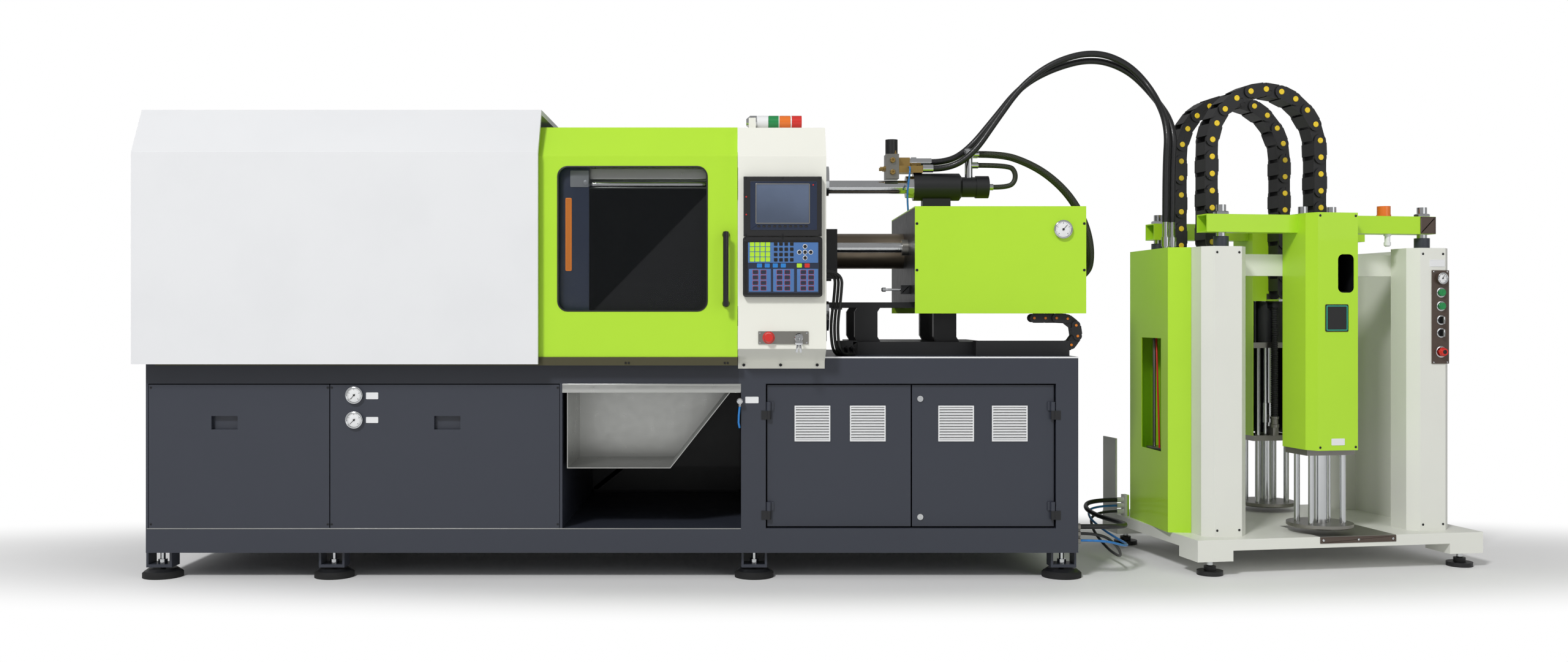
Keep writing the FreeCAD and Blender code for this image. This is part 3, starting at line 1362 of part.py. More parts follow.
def post_cover(left, width, name):
    """Faceted hollow post, closed on top."""
    right = "%s + %s" % (left, width)
    wall = "hood_sheet"

    def outline(inset):
        return (("%s + %s" % (left, inset), "post_back - %s" % inset),
                ("%s + %s" % (left, inset), "post_front + post_facet"),
                ("%s + post_facet" % left, "post_front + %s" % inset),
                ("%s - post_facet" % right, "post_front + %s" % inset),
                ("%s - %s" % (right, inset), "post_front + post_facet"),
                ("%s - %s" % (right, inset), "post_back - %s" % inset))

    shell = profile("xy", (outline("0"),), "stand_top", "post_top", name)
    room = profile("xy", (outline(wall),), "stand_top - 1", "post_top - hood_sheet", name + "_room")
    return cut(shell, [room], name + "_hollow")


def rear_post(centre_u):
    """Square hollow post at the back."""
    wall = "hood_sheet"
    outer = block(around(centre_u, "rear_post_width / 2"), ("rear_post_front", "rear_post_back"),
                  ("stand_top", "post_top"), "rear_post_form")
    room = block(around(centre_u, "rear_post_width / 2 - " + wall),
                 ("rear_post_front + " + wall, "rear_post_back - " + wall),
                 ("stand_top - 1", "post_top - " + wall), "rear_post_room")
    return cut(outer, [room], "rear_post_hollow")


def dosing_frame():
    """Welded frame: four hollow posts with rod bushes, cross beam, side walls and chain shelf."""
    posts = [post_cover("left_post_u", "left_post_width", "left_post"),
             post_cover("right_post_u", "right_post_width", "right_post"),
             rear_post("rod_b_left"), rear_post("rod_b_right")]
    bushes, bores = [], []
    for centre in (("rod_a_left", "rod_a_v"), ("rod_a_right", "rod_a_v"),
                   ("rod_b_left", "rod_b_v"), ("rod_b_right", "rod_b_v")):
        bushes.append(rod("z", "post_top", "post_top + rod_collar_height", centre, "rod_collar", "bush"))
        bores.append(rod("z", "post_top - 50", "post_top + rod_collar_height + 1", centre,
                         "rod_radius + running_gap", "bush_bore"))
    cross = block(("rod_b_left - rear_post_width / 2", "wall_left + 1"), ("post_back", "cross_back"),
                  ("cross_bottom", "cross_top"), "cross_beam")
    shelf = block(("supply_right", "chain_b_u + lift_link_height / 2 + 6"), ("post_back", "rear_post_front"),
                  ("post_top - 6", "post_top"), "chain_shelf_form")
    right_wall = block(("wall_left", "wall_left + hood_sheet"), ("post_back", "rear_post_front"),
                       ("stand_top", "post_top"), "right_wall")
    left_wall = block(("rod_b_left - rear_post_width / 2", "rod_b_left - rear_post_width / 2 + hood_sheet"),
                      ("post_back", "rear_post_front"), ("stand_top", "post_top - 6"), "left_wall")
    face = ("post_front - strip_sheet - 1", "post_front + hood_sheet + 1")
    for height in ("button_1_z", "button_2_z", "selector_1_z", "selector_2_z", "strip_stop_z"):
        bores.append(rod("y", face[0], face[1], ("strip_u", height), "button_neck + running_gap",
                         "switch_hole"))
    strip = block(("strip_left", "strip_right"), ("post_front - strip_sheet", "post_front"),
                  ("strip_bottom", "strip_top"), "strip_plate")
    frame_form = cut(fuse(posts + bushes + [cross, shelf, right_wall, left_wall], "frame_joined"), bores,
                     "frame_bored")
    node("dosing_frame", frame_form, "dosing")
    holes = [rod("y", face[0], face[1], ("strip_u", height), "button_neck + running_gap", "strip_hole")
             for height in ("button_1_z", "button_2_z", "selector_1_z", "selector_2_z", "strip_stop_z")]
    gauge = rod("y", "post_front - strip_sheet - gauge_rim", "post_front - strip_sheet",
                ("strip_u", "strip_gauge_z"), "strip_gauge_radius", "strip_gauge")
    sink = rod("y", "post_front - strip_sheet - gauge_rim - 1",
               "post_front - strip_sheet - gauge_rim + gauge_glass", ("strip_u", "strip_gauge_z"),
               "strip_gauge_radius - 4", "strip_gauge_sink")
    node("control_strip", cut(fuse([strip, gauge], "strip_joined"), holes + [sink], "strip_bored"),
         "dosing")


def supply_cabinet():
    """Hollow cabinet with a sight window, two hose couplings on its roof and three cable glands."""
    wall = "hood_sheet"

    def outline(inset):
        return (("supply_right - %s" % inset, "supply_front + %s" % inset),
                ("supply_left + %s" % inset, "supply_corner + %s * 0.8" % inset),
                ("supply_back_left + %s * 0.9" % inset, "supply_back - %s" % inset),
                ("supply_right - %s" % inset, "supply_back - %s" % inset))

    shell = profile("xy", (outline("0"),), "stand_top", "supply_top", "supply_shell")
    room = profile("xy", (outline(wall),), "stand_top + hood_sheet", "supply_top - hood_sheet",
                   "supply_room")
    notch = block(("left_post_u - 1", "supply_right + 1"), ("supply_front - 1", "post_back"),
                  ("stand_top - 1", "supply_top + 1"), "supply_notch")
    window = block(("supply_left - 50", "-30"), ("supply_window_front", "supply_window_back"),
                   ("supply_window_bottom", "supply_window_top"), "supply_window")
    glands = [rod("x", "entry_u", "entry_u + 40", ("entry_v", level), "gland_radius * 0.8", "supply_gland")
              for level in ("entry_z", "entry_z + 26", "entry_z + 52")]
    entry = block(("supply_back_left - 12", "supply_back_left + 8"), around("entry_v", "20"),
                  ("stand_top", "entry_z + 75"), "entry_box")
    couplings = []
    for side in ("-1", "1"):
        centre = ("coupling_u + %s * coupling_spread" % side, "coupling_v + %s * 6" % side)
        stem = rod("z", "supply_top", "coupling_top", centre, "coupling_radius", "coupling_stem")
        nut = rod("z", "supply_top + 8", "coupling_nut_top", centre, "coupling_nut_radius - 0.5",
                  "coupling_nut")
        couplings.extend([stem, nut])
    node("supply_cabinet", fuse([cut(shell, [room, notch, window], "supply_open"), entry] + glands
                                + couplings, "supply_joined"), "dosing")


# ---------------------------------------------------------------- dosing unit: the two lifts

def beacon():
    """Amber lamp on the front beam."""
    lamp = rod("z", "beam_top + 8", "beam_top + beacon_height", ("beacon_u", "rod_a_v"), "beacon_radius",
               "beacon_lens")
    foot = rod("z", "beam_top", "beam_top + 8", ("beacon_u", "rod_a_v"), "beacon_radius + 2",
               "beacon_foot")
    return [lamp, foot]


def lift(letter, sense):
    """Beam on two rods with its hood, motor and pump; sense is -1 where the hood faces the front."""
    pump_u, pump_v = "pump_%s_u" % letter, "pump_%s_v" % letter
    rod_v = "rod_%s_v" % letter
    rods = ["rod_%s_left" % letter, "rod_%s_right" % letter]
    beam_ends = ("beam_%s_left" % letter, "beam_%s_right" % letter)
    centres = [(rod_u, rod_v) for rod_u in rods]
    hangers = [("%s + %s * (pump_rod_u - 6)" % (pump_u, side), rod_v) for side in ("-1", "1")]

    outer = block(beam_ends, around(rod_v, "beam_half"), ("beam_bottom", "beam_top"), "beam_form")
    room = block((beam_ends[0] + " - 1", beam_ends[1] + " + 1"), around(rod_v, "beam_half - beam_wall"),
                 ("beam_bottom + beam_wall", "beam_top - beam_wall"), "beam_room")
    holes = [rod("z", "beam_bottom - 1", "beam_top + 1", centre, radius, "beam_hole")
             for centre, radius in [(c, "rod_radius") for c in centres] + [(h, "rod_radius - 1")
                                                                          for h in hangers]]
    parts = [cut(outer, [room] + holes, "beam_tube")]
    if letter == "a":
        parts.append(block(("%s + pump_rod_u + 51" % pump_u, "%s + pump_rod_u + 90" % pump_u),
                           (rod_v + " + beam_half", "chain_a_v + lift_link_width"),
                           ("beam_bottom", "beam_bottom + chain_arm"), "chain_arm"))
        parts.append(block(("%s + pump_rod_u - 10" % pump_u, "%s + pump_rod_u + 51" % pump_u),
                           ("chain_a_v", "chain_a_v + lift_link_width"),
                           ("beam_bottom", "beam_bottom + chain_arm"), "chain_seat"))
        parts.extend(beacon())
    node("lift_beam_" + letter, fuse(parts, "beam_joined"), "dosing")
    node("lift_rods_" + letter,
         group([rod("z", "rod_bottom", "beam_top + rod_stub", centre, "rod_radius", "lift_rod")
                for centre in centres], "lift_rod_pair"), "dosing")

    front = "%s %s hood_front" % (pump_v, "-" if sense < 0 else "+")
    facet = "%s %s (hood_front - hood_facet_v)" % (pump_v, "-" if sense < 0 else "+")
    back = "%s %s hood_back" % (pump_v, "+" if sense < 0 else "-")
    way = "+" if sense < 0 else "-"
    wall = "hood_sheet"

    def side_points(half, face, shift):
        inner = half if shift == "0" else "%s - %s" % (half, wall)
        front_face = face if shift == "0" else "%s %s %s" % (face, way, wall)
        return (("%s - (%s)" % (pump_u, inner), back), ("%s - (%s)" % (pump_u, inner), facet),
                ("%s - (%s - hood_facet_u)" % (pump_u, half), front_face),
                ("%s + (%s - hood_facet_u)" % (pump_u, half), front_face),
                ("%s + (%s)" % (pump_u, inner), facet), ("%s + (%s)" % (pump_u, inner), back))

    outer_line = side_points("hood_half", front, "0")
    inner_line = side_points("hood_half", front, "1")
    shell = profile("xy", (outer_line + inner_line[::-1],), "hood_bottom", "hood_top", "hood_shell")
    roof = profile("xy", (outer_line,), "hood_top - hood_sheet", "hood_top", "hood_roof")
    apron_v = (back, "%s + hood_sheet" % back) if sense > 0 else ("%s - hood_sheet" % back, back)
    apron = block(around(pump_u, "hood_half - 1"), apron_v, ("hood_apron", "hood_top"), "hood_apron_form")
    slot = rounded_plate("xz", around(pump_u + " - %d * slot_u" % sense, "slot_half"),
                         ("slot_bottom", "slot_top"), "%s - 12" % front, "%s + 12" % front,
                         "slot_corner", "hood_slot")
    passage = block(beam_ends, around(rod_v, "beam_half"), ("beam_bottom", "beam_top"), "beam_passage")
    tools = [slot, passage]
    tools += [rod("z", "beam_top - 1", "hood_top + 1", h, "rod_radius - 1", "hood_hole") for h in hangers]
    if letter == "a":
        tools.append(block(("%s + hood_half - 20" % pump_u, "%s + hood_half + 20" % pump_u),
                           (rod_v + " + beam_half", back + " + 1"),
                           ("beam_bottom - 1", "beam_bottom + chain_arm + 1"), "arm_passage"))
    else:
        tools.append(block(around("chain_b_u + 2 * lift_turn", "lift_link_height / 2 + 1"),
                           (back + " - 1", back + " + hood_sheet + 1"),
                           ("hood_apron - 1", "motor_top + 11 + pump_plate"), "riser_passage"))
    node("pump_hood_" + letter, cut(fuse([shell, roof, apron], "hood_joined"), tools, "hood_open"),
         "dosing")

    plates = [rod("z", "pump_plate_z + pump_plate", "motor_top", (pump_u, pump_v), "motor_radius", "motor"),
              rod("z", "motor_top", "motor_top + 10", (pump_u, pump_v), "motor_radius * 0.8", "motor_cap")]
    for level in ("motor_top + 10", "pump_plate_z", "middle_plate_z"):
        plates.append(block(around(pump_u, "pump_plate_half_u"), around(pump_v, "pump_plate_half_v"),
                            (level, level + " + pump_plate"), "pump_plate_form"))
    hangs = [rod("z", "motor_top + 10", "beam_top + rod_stub - 4", h, "rod_radius - 1", "hanger")
             for h in hangers]
    legs = []
    for side_u in ("-1", "1"):
        for side_v in ("-1", "1"):
            centre = ("%s + %s * pump_rod_u" % (pump_u, side_u), "%s + %s * pump_rod_v" % (pump_v, side_v))
            legs.append(rod("z", "follower_bottom + follower_rim", "pump_plate_z", centre,
                            "pump_rod_radius", "pump_leg"))
            outside = ("%s + %s * (pump_plate_half_u - 12)" % (pump_u, side_u),
                       "%s + %s * (pump_plate_half_v - 12)" % (pump_v, side_v))
            legs.append(rod("z", "pump_plate_z + pump_plate", "motor_top + 10", outside, "8", "motor_stay"))
    tube = rod("z", "follower_bottom + follower_rim", "pump_plate_z", (pump_u, pump_v),
               "pump_tube_radius", "pump_tube")
    collar = rod("z", "pump_collar_bottom", "pump_collar_top", (pump_u, pump_v), "pump_collar_radius",
                 "pump_collar")
    extra = []
    if letter == "b":
        extra.append(block(around("chain_b_u + 2 * lift_turn", "lift_link_height / 2"),
                           ("chain_b_v", pump_v + " - pump_plate_half_v + 1"),
                           ("chain_b_drop - 14", "chain_b_drop"), "chain_seat_b"))
        extra.append(block(around("chain_b_u + 2 * lift_turn", "lift_link_height / 2"),
                           (pump_v + " - pump_plate_half_v - 12", pump_v + " - pump_plate_half_v + 1"),
                           ("chain_b_drop - 14", "motor_top + 10 + pump_plate"), "chain_riser_b"))
    follower = turned((("0", "0"), ("follower_radius - 6", "0"), ("follower_radius", "5"),
                       ("follower_radius", "follower_rim"), ("0", "follower_rim")),
                      (pump_u, pump_v, "follower_bottom"), "follower_form")
    node("pump_" + letter, fuse(plates + hangs + legs + [tube, collar, follower] + extra, "pump_joined"),
         "dosing")


def strip_switches():
    """Two push buttons, two selectors and the stop knob of the control strip."""
    face = "post_front - strip_sheet"
    for number in (1, 2):
        centre = ("strip_u", "button_%d_z" % number)
        head = rod("y", face + " - button_reach", face + " - 5", centre, "button_radius", "button_head")
        neck = rod("y", face + " - 5", "post_front + hood_sheet + 12", centre, "button_neck",
                   "button_neck_form")
        node("start_button_%d" % number, fuse([head, neck], "button_joined"), "dosing")
        centre = ("strip_u", "selector_%d_z" % number)
        dial = rod("y", face + " - 6", face + " - running_gap", centre, "button_radius", "selector_dial")
        stem = rod("y", face + " - running_gap", "post_front + hood_sheet + 12", centre, "button_neck",
                   "selector_stem")
        bar = block(around("strip_u", "5"), (face + " - selector_reach", face + " - 6"),
                    around("selector_%d_z" % number, "button_radius"), "selector_bar")
        node("selector_%d" % number, fuse([dial, stem, bar], "selector_joined"), "dosing")
    centre = ("strip_u", "strip_stop_z")
    neck = rod("y", face + " - 14", "post_front + hood_sheet + 12", centre, "button_neck", "knob_neck")
    cap = taper("y", face + " - 26", face + " - 14", centre, "button_radius", "button_radius + 4", "knob_cap")
    node("strip_stop_knob", fuse([neck, cap], "knob_joined"), "dosing")


# ---------------------------------------------------------------- hoses and cables

def from_dosing(along, depth, height):
    """Point of the dosing unit in the machine's frame."""
    turn = math.radians(size("dosing_turn"))
    return (size("base_length") + size("dosing_gap") + along * math.cos(turn) - depth * math.sin(turn),
            size("dosing_y") + along * math.sin(turn) + depth * math.cos(turn), height)


def tube(name, route, radius):
    """Round hose along straight runs joined by arcs as large as the runs allow."""
    points = [Vector(*place) for place in route]
    edges, radii = [], []
    start = points[0]
    for before, here, after in zip(points, points[1:], points[2:]):
        back = (before - here).normalize()
        onward = (after - here).normalize()
        half_turn = (math.pi - back.getAngle(onward)) / 2
        shorter = min((before - here).Length, (after - here).Length)
        reach = 0.45 * shorter
        arc_radius = reach / math.tan(half_turn)
        first, last = here + back * reach, here + onward * reach
        centre = here + (back + onward).normalize() * (arc_radius / math.cos(half_turn))
        middle = centre + (here - centre).normalize() * arc_radius
        edges.append(Part.LineSegment(start, first).toShape())
        edges.append(Part.Arc(first, middle, last).toShape())
        radii.append(arc_radius)
        start = last
    edges.append(Part.LineSegment(start, points[-1]).toShape())
    path = Part.Wire(edges)
    section = Part.Wire([Part.makeCircle(radius, points[0], points[1] - points[0])])
    solid = path.makePipeShell([section], True, False)
    ratio = solid.Volume / (math.pi * radius ** 2 * path.Length)
    print("%-14s length %6.0f  least radius %5.0f = %4.1f diameters  volume ratio %.4f"
          % (name, path.Length, min(radii), min(radii) / radius / 2, ratio))
    return solid


def feed_hoses():
    """Two silicone hoses from the supply cabinet over to the mixing block."""
    turn = math.radians(size("dosing_turn"))
    hoses = []
    for side, lift_z, crown in ((-1, 0, 0), (1, size("hose_rise"), -26)):
        across = side * size("hose_y")
        end_u = size("coupling_u") + side * size("coupling_spread")
        end_v = size("coupling_v") + side * 6
        end = from_dosing(end_u, end_v, size("coupling_top"))
        start = (size("hose_left"), across, size("hose_z") + lift_z)
        near = across * 0.6
        route = [start, (3296, across, start[2]), (3394, across * 2.1, 1760 + lift_z),
                 (3500, across * 1.6, 1912 + lift_z * 0.3), (3610, near - 4, 2062),
                 (3752, near - 10, 2168 + crown), (3925, near - 18, 2212 + crown),
                 (4070, near - 28, 2158 + crown * 0.7), (4172, -52 + near, 2034),
                 (end[0] + 10, end[1] - 6, 1862), (end[0], end[1], 1680), end]
        hoses.append(tube("feed hose", route, size("hose_radius")))
    made("feed_hoses", Part.makeCompound(hoses))


def return_hoses():
    """Braided hoses of the carriage: a short loop and two long ones to the cover's end."""
    left, end_x = size("return_left"), size("carriage_right") + size("gland_length")
    hoses = []
    for side in (-1, 1):
        across = side * size("hose_spread")
        low = size("return_end_z")
        route = [(left, across, size("return_z")), (3532, across, size("return_z")), (3634, across, 1730),
                 (3730, across, 1676), (3822, across, 1590), (3886, across, 1484), (3918, across, 1372),
                 (3917, across, 1277), (3894, across, 1238), (3855, across, low), (end_x, across, low)]
        hoses.append(tube("return hose", route, size("return_radius")))
    tail = size("cylinder_end") + 22
    loop = [(left, 0, size("loop_z")), (3560, 0, size("loop_z")), (3588, 0, 1688), (3588, 0, 1648),
            (3560, 0, size("pull_rod_z")), (tail, 0, size("pull_rod_z"))]
    hoses.append(tube("loop hose", loop, size("loop_radius")))
    made("return_hoses", Part.makeCompound(hoses))


def floor_cables():
    """Power cable, air tube and signal cable from the base's end to the supply cabinet."""
    start_x = size("base_length") + size("gland_length")
    start_y = -size("gland_y")
    ends = [from_dosing(size("entry_u"), size("entry_v"), size("entry_z") + 26 * step) for step in range(3)]
    nears = [from_dosing(size("entry_u") - 124, size("entry_v"), size("entry_z") + 26 * step)
             for step in range(3)]
    power = [(start_x, start_y, size("power_z")), (3860, start_y, size("power_z")),
             (3950, -430, 196), (3985, -310, 188), (3965, -180, 184), (3925, -60, 188), (3903, 55, 206), nears[2], ends[2]]
    air = [(start_x, start_y, size("air_z")), (3850, start_y, size("air_z")),
           (3945, -448, 118), (3992, -330, 104), (3982, -200, 108), (3946, -75, 132), (3918, 50, 168), nears[1], ends[1]]
    signal = [(start_x, start_y, size("signal_z")), (3836, start_y, size("signal_z")),
              (3915, -446, 118),
              (3958, -350, 62), (3975, -230, 40), (3962, -110, 52), (3932, 30, 112), nears[0], ends[0]]
    cables = [tube("power cable", power, size("power_radius")), tube("air tube", air, size("air_radius")),
              tube("signal cable", signal, size("signal_radius"))]
    made("floor_cables", Part.makeCompound(cables))


# ---------------------------------------------------------------- build, check and write

def build():
    base_frame()
    levelling_feet()
    panels()
    air_gauges()
    product_chute()
    cabinet_doors()
    cam_lock("upper_cam_lock", "upper_lock_z")
    cam_lock("lower_cam_lock", "lower_lock_z")
    clamp_guard()
    safety_door("front")
    safety_door("rear")
    control_column()
    control_panels()
    switches()
    signal_tower()
    closing_unit()
    carriage_bed()
    injection_carriage()
    injection_cover()
    barrel_and_screw()
    carriage_cylinder()
    mixing_block()
    carriage_chain()
    stand()
    dosing_frame()
    supply_cabinet()
    lift("a", -1)
    lift("b", 1)
    lift_chain("lift_chain_a", "chain_a_u", "chain_a_v", size("beam_bottom") + size("chain_arm"))
    lift_chain("lift_chain_b", "chain_b_u", "chain_b_v", size("chain_b_drop"))
    strip_switches()
    feed_hoses()
    return_hoses()
    floor_cables()
    document.recompute()


def check_and_write():
    for thing in document.Objects:
        if "Invalid" in thing.State or "Error" in thing.State:
            raise RuntimeError("%s failed: %s" % (thing.Name, thing.State))
    faulty = [label for label, solid in NODES.items()
              if solid.Shape.isNull() or not solid.Shape.isValid() or not solid.Shape.Solids]
    if faulty:
        raise RuntimeError("no valid solid: %s" % ", ".join(faulty))
    os.makedirs("parts", exist_ok=True)
    for label, solid in NODES.items():
        solid.Shape.exportStep("parts/%s.step" % label)
    print("%d pieces written" % len(NODES))


build()
check_and_write()
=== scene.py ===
"""Finishes and small pieces of the injection moulding machine and its dosing unit."""

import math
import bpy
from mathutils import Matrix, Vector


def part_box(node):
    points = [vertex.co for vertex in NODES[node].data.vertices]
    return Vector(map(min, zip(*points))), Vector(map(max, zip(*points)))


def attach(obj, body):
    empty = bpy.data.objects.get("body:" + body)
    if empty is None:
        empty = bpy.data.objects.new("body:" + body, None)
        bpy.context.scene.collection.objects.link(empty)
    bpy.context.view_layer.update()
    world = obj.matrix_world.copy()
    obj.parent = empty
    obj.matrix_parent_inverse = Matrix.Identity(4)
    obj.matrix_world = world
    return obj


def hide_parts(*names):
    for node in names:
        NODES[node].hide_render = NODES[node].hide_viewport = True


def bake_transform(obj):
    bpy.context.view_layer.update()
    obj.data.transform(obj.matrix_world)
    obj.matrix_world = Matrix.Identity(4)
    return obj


bl_info = {
    "name": "Moulding cell finish",
    "version": (1, 0, 0),
    "blender": (4, 5, 0),
    "location": "3D View > Sidebar > Moulding",
    "description": "Dresses the injection moulding machine and its dosing unit around their CAD frame",
    "category": "Object",
}

import bpy
from bpy.props import FloatProperty, FloatVectorProperty, IntProperty, PointerProperty
from bpy.types import Operator, Panel, PropertyGroup
from mathutils import Matrix, Vector

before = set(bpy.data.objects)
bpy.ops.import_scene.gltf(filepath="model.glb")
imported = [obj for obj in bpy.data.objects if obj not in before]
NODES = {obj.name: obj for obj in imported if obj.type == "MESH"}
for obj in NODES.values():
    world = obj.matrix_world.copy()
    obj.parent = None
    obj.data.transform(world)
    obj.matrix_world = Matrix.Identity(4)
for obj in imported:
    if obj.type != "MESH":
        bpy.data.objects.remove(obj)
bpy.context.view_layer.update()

MM = 0.001
DOSING_TURN = math.radians(10)
DOSING_PLACE = (1.56945, -0.404, 0.0)
STATIONS = {
    "machine": Matrix.Translation((-2.72555, 0.032, 0.0)),
    "dosing": Matrix.Translation(DOSING_PLACE) @ Matrix.Rotation(DOSING_TURN, 4, "Z"),
}
FACINGS = {
    "up": Matrix.Identity(4),
    "down": Matrix.Rotation(math.pi, 4, "X"),
    "front": Matrix.Rotation(math.pi / 2, 4, "X"),
    "back": Matrix.Rotation(-math.pi / 2, 4, "X"),
    "right": Matrix.Rotation(math.pi / 2, 4, "Y"),
    "left": Matrix.Rotation(-math.pi / 2, 4, "Y"),
}
TOWARDS = {"x": Vector((1, 0, 0)), "y": Vector((0, 1, 0)), "z": Vector((0, 0, 1))}
FLAT = 0.99  # least part of a face's normal along an axis that it is taken to face

# levels of the faces that small pieces sit on, in millimetres of their station
MACHINE_Y = 32.0  # the machine's own zero in the part's frame
BASE_FRONT = -550
PLATE_FRONT = -665
KEYPAD_FRONT = -684
SCREEN_FRONT = -690
STRIP_FRONT = 6.0
STRIP_MIDDLE = 1057
DRUM_FRONT = -62.5
BEAM_TOP = 1475.0
FIELD_LEVEL = -686.4
KEY_LEVEL = -687.6
LOW_KEY_LEVEL = -686.8
KEYPAD_SCALE = 0.8232  # millimetres for one step of the keypad's drawing
CHAIN_FOOT = 1341  # where the lift chains stand
CHAIN_TURN = 1770  # where they begin to turn over
END_LINK = 27.5  # from a chain's end to its first pin

# studio: the floor fades out around a line in front of the cell, so the distance along it counts less
CELL_MIDDLE = 2725.0
FADE_SQUEEZE = 0.06
FADE_REACH = (700.0, 1350.0)
SKY_LIGHT = 0.36
# lamps: name, place, target, width in metres, power in watts
LAMPS = (("key_lamp", (-6.4, -12.4, 12.6), (0.2, 0.0, 0.9), 2.6, 1800.0),
         ("fill_lamp", (5.2, -6.0, 3.6), (0.6, 0.0, 0.9), 4.0, 60.0))


# ---------------------------------------------------------------- sizes and colours

def linear(channel):
    """Linear value of one colour channel given from 0 to 255."""
    share = channel / 255
    return share / 12.92 if share <= 0.04045 else ((share + 0.055) / 1.055) ** 2.4


def paint(title, use, *channels):
    """Colour that a user may change."""
    return FloatVectorProperty(name=title, description=use, subtype="COLOR", size=3, min=0, max=1,
                               default=[linear(channel) for channel in channels])


def measure(title, use, millimetres):
    """Length that a user may change."""
    return FloatProperty(name=title, description=use, subtype="DISTANCE", unit="LENGTH", min=0.0001,
                         default=millimetres * MM)


class MouldingColours(PropertyGroup):
    """Colours of the finishes."""
    lime: paint("Lime", "Safety doors, injection cover, beams, hoods and supply cabinet", 181, 229, 46)
    slate: paint("Slate", "Base, front panels and cabinet doors", 50, 54, 65)
    guard: paint("Guard grey", "Cover over the closing unit", 232, 233, 235)
    column: paint("Column white", "Control column", 240, 240, 230)
    dosing: paint("Dosing white", "Stand, posts and wall of the dosing unit", 231, 232, 224)
    platen: paint("Platen grey", "Platens and castings", 120, 124, 128)
    stainless: paint("Stainless", "Product chute", 196, 197, 194)
    steel: paint("Machined steel", "Plates, rods and fittings", 150, 148, 142)
    chrome: paint("Chrome", "Piston rods and guide rods", 214, 216, 218)
    black: paint("Black steel", "Carriage bed, cylinder, brackets", 26, 27, 30)
    plastic: paint("Dark plastic", "Handles, chains and housings", 24, 24, 26)
    navy: paint("Keypad navy", "Screen surround and keypad field", 30, 42, 66)
    sky: paint("Keypad blue", "Lit field of the keypad", 74, 118, 178)
    display: paint("Display", "Screen", 84, 96, 118)
    red: paint("Red", "Stop buttons and red lamp", 214, 42, 34)
    green: paint("Green", "Start buttons and green lamp", 22, 138, 72)
    amber: paint("Amber", "Warning lamps", 236, 120, 34)
    yellow: paint("Pin yellow", "Pins of the lift chains", 243, 208, 34)
    orange: paint("Pin orange", "Pins of the carriage chain", 226, 128, 30)
    hose: paint("Hose black", "Feed hoses and cables", 20, 21, 23)
    braid: paint("Braid", "Braided return hoses", 62, 66, 52)
    air: paint("Air blue", "Air tube", 38, 128, 206)
    barrel: paint("Barrel steel", "Heated barrel", 136, 124, 108)
    brass: paint("Brass", "Valve arm and plugs", 176, 146, 88)
    strip: paint("Strip brown", "Control strip", 92, 78, 70)
    teal: paint("Teal", "Frame of the pump plates", 46, 184, 154)
    olive: paint("Track steel", "Door track", 104, 100, 74)
    white: paint("White plastic", "Louvres and label fields", 236, 237, 238)
    rubber: paint("Rubber", "Pads under the feet", 22, 22, 23)


class MouldingSizes(PropertyGroup):
    """Sizes of the small pieces."""
    edge: measure("Edge", "Softened edge of small sheet pieces", 0.8)
    bolt: measure("Bolt", "Radius of a flange bolt's head", 6.5)
    lift_pin: measure("Lift chain pin", "Radius of a pin disc on the lift chains", 12.0)
    carriage_pin: measure("Carriage chain pin", "Radius of a pin disc on the carriage chain", 5.5)
    round_sides: IntProperty(name="Round sides", description="Sides of a round piece", default=32, min=12)


def colour(name):
    """Red, green and blue of a colour that the panel shows."""
    return tuple(getattr(bpy.context.scene.moulding_colours, name))


def sizes():
    """Sizes that the panel shows."""
    return bpy.context.scene.moulding_sizes


# ---------------------------------------------------------------- finishes

class Wire:
    """Number on a socket; sums on it add Math nodes."""

    def __init__(self, finish, socket):
        self.finish = finish
        self.socket = socket

    def combine(self, operation, first, second, third=None):
        values = [first, second] + ([third] if third is not None else [])
        return self.finish.add("ShaderNodeMath", {"operation": operation}, *values)

    def __add__(self, other):
        return self.combine("ADD", self, other)

    def __sub__(self, other):
        return self.combine("SUBTRACT", self, other)

    def __rsub__(self, other):
        return self.combine("SUBTRACT", other, self)

    def __mul__(self, other):
        return self.combine("MULTIPLY", self, other)

    def __gt__(self, other):
        return self.combine("GREATER_THAN", self, other)

    def __lt__(self, other):
        return self.combine("LESS_THAN", self, other)

    def __or__(self, other):
        return self.combine("MAXIMUM", self, other)

    __radd__ = __add__
    __rmul__ = __mul__

    def between(self, low, high):
        return (self > low) * (self < high)

    def ramp(self, low, high, start=0.0, end=1.0):
        """Smooth step from start at low to end at high."""
        return self.finish.add("ShaderNodeMapRange", {"interpolation_type": "SMOOTHSTEP"},
                               self, low, high, start, end)


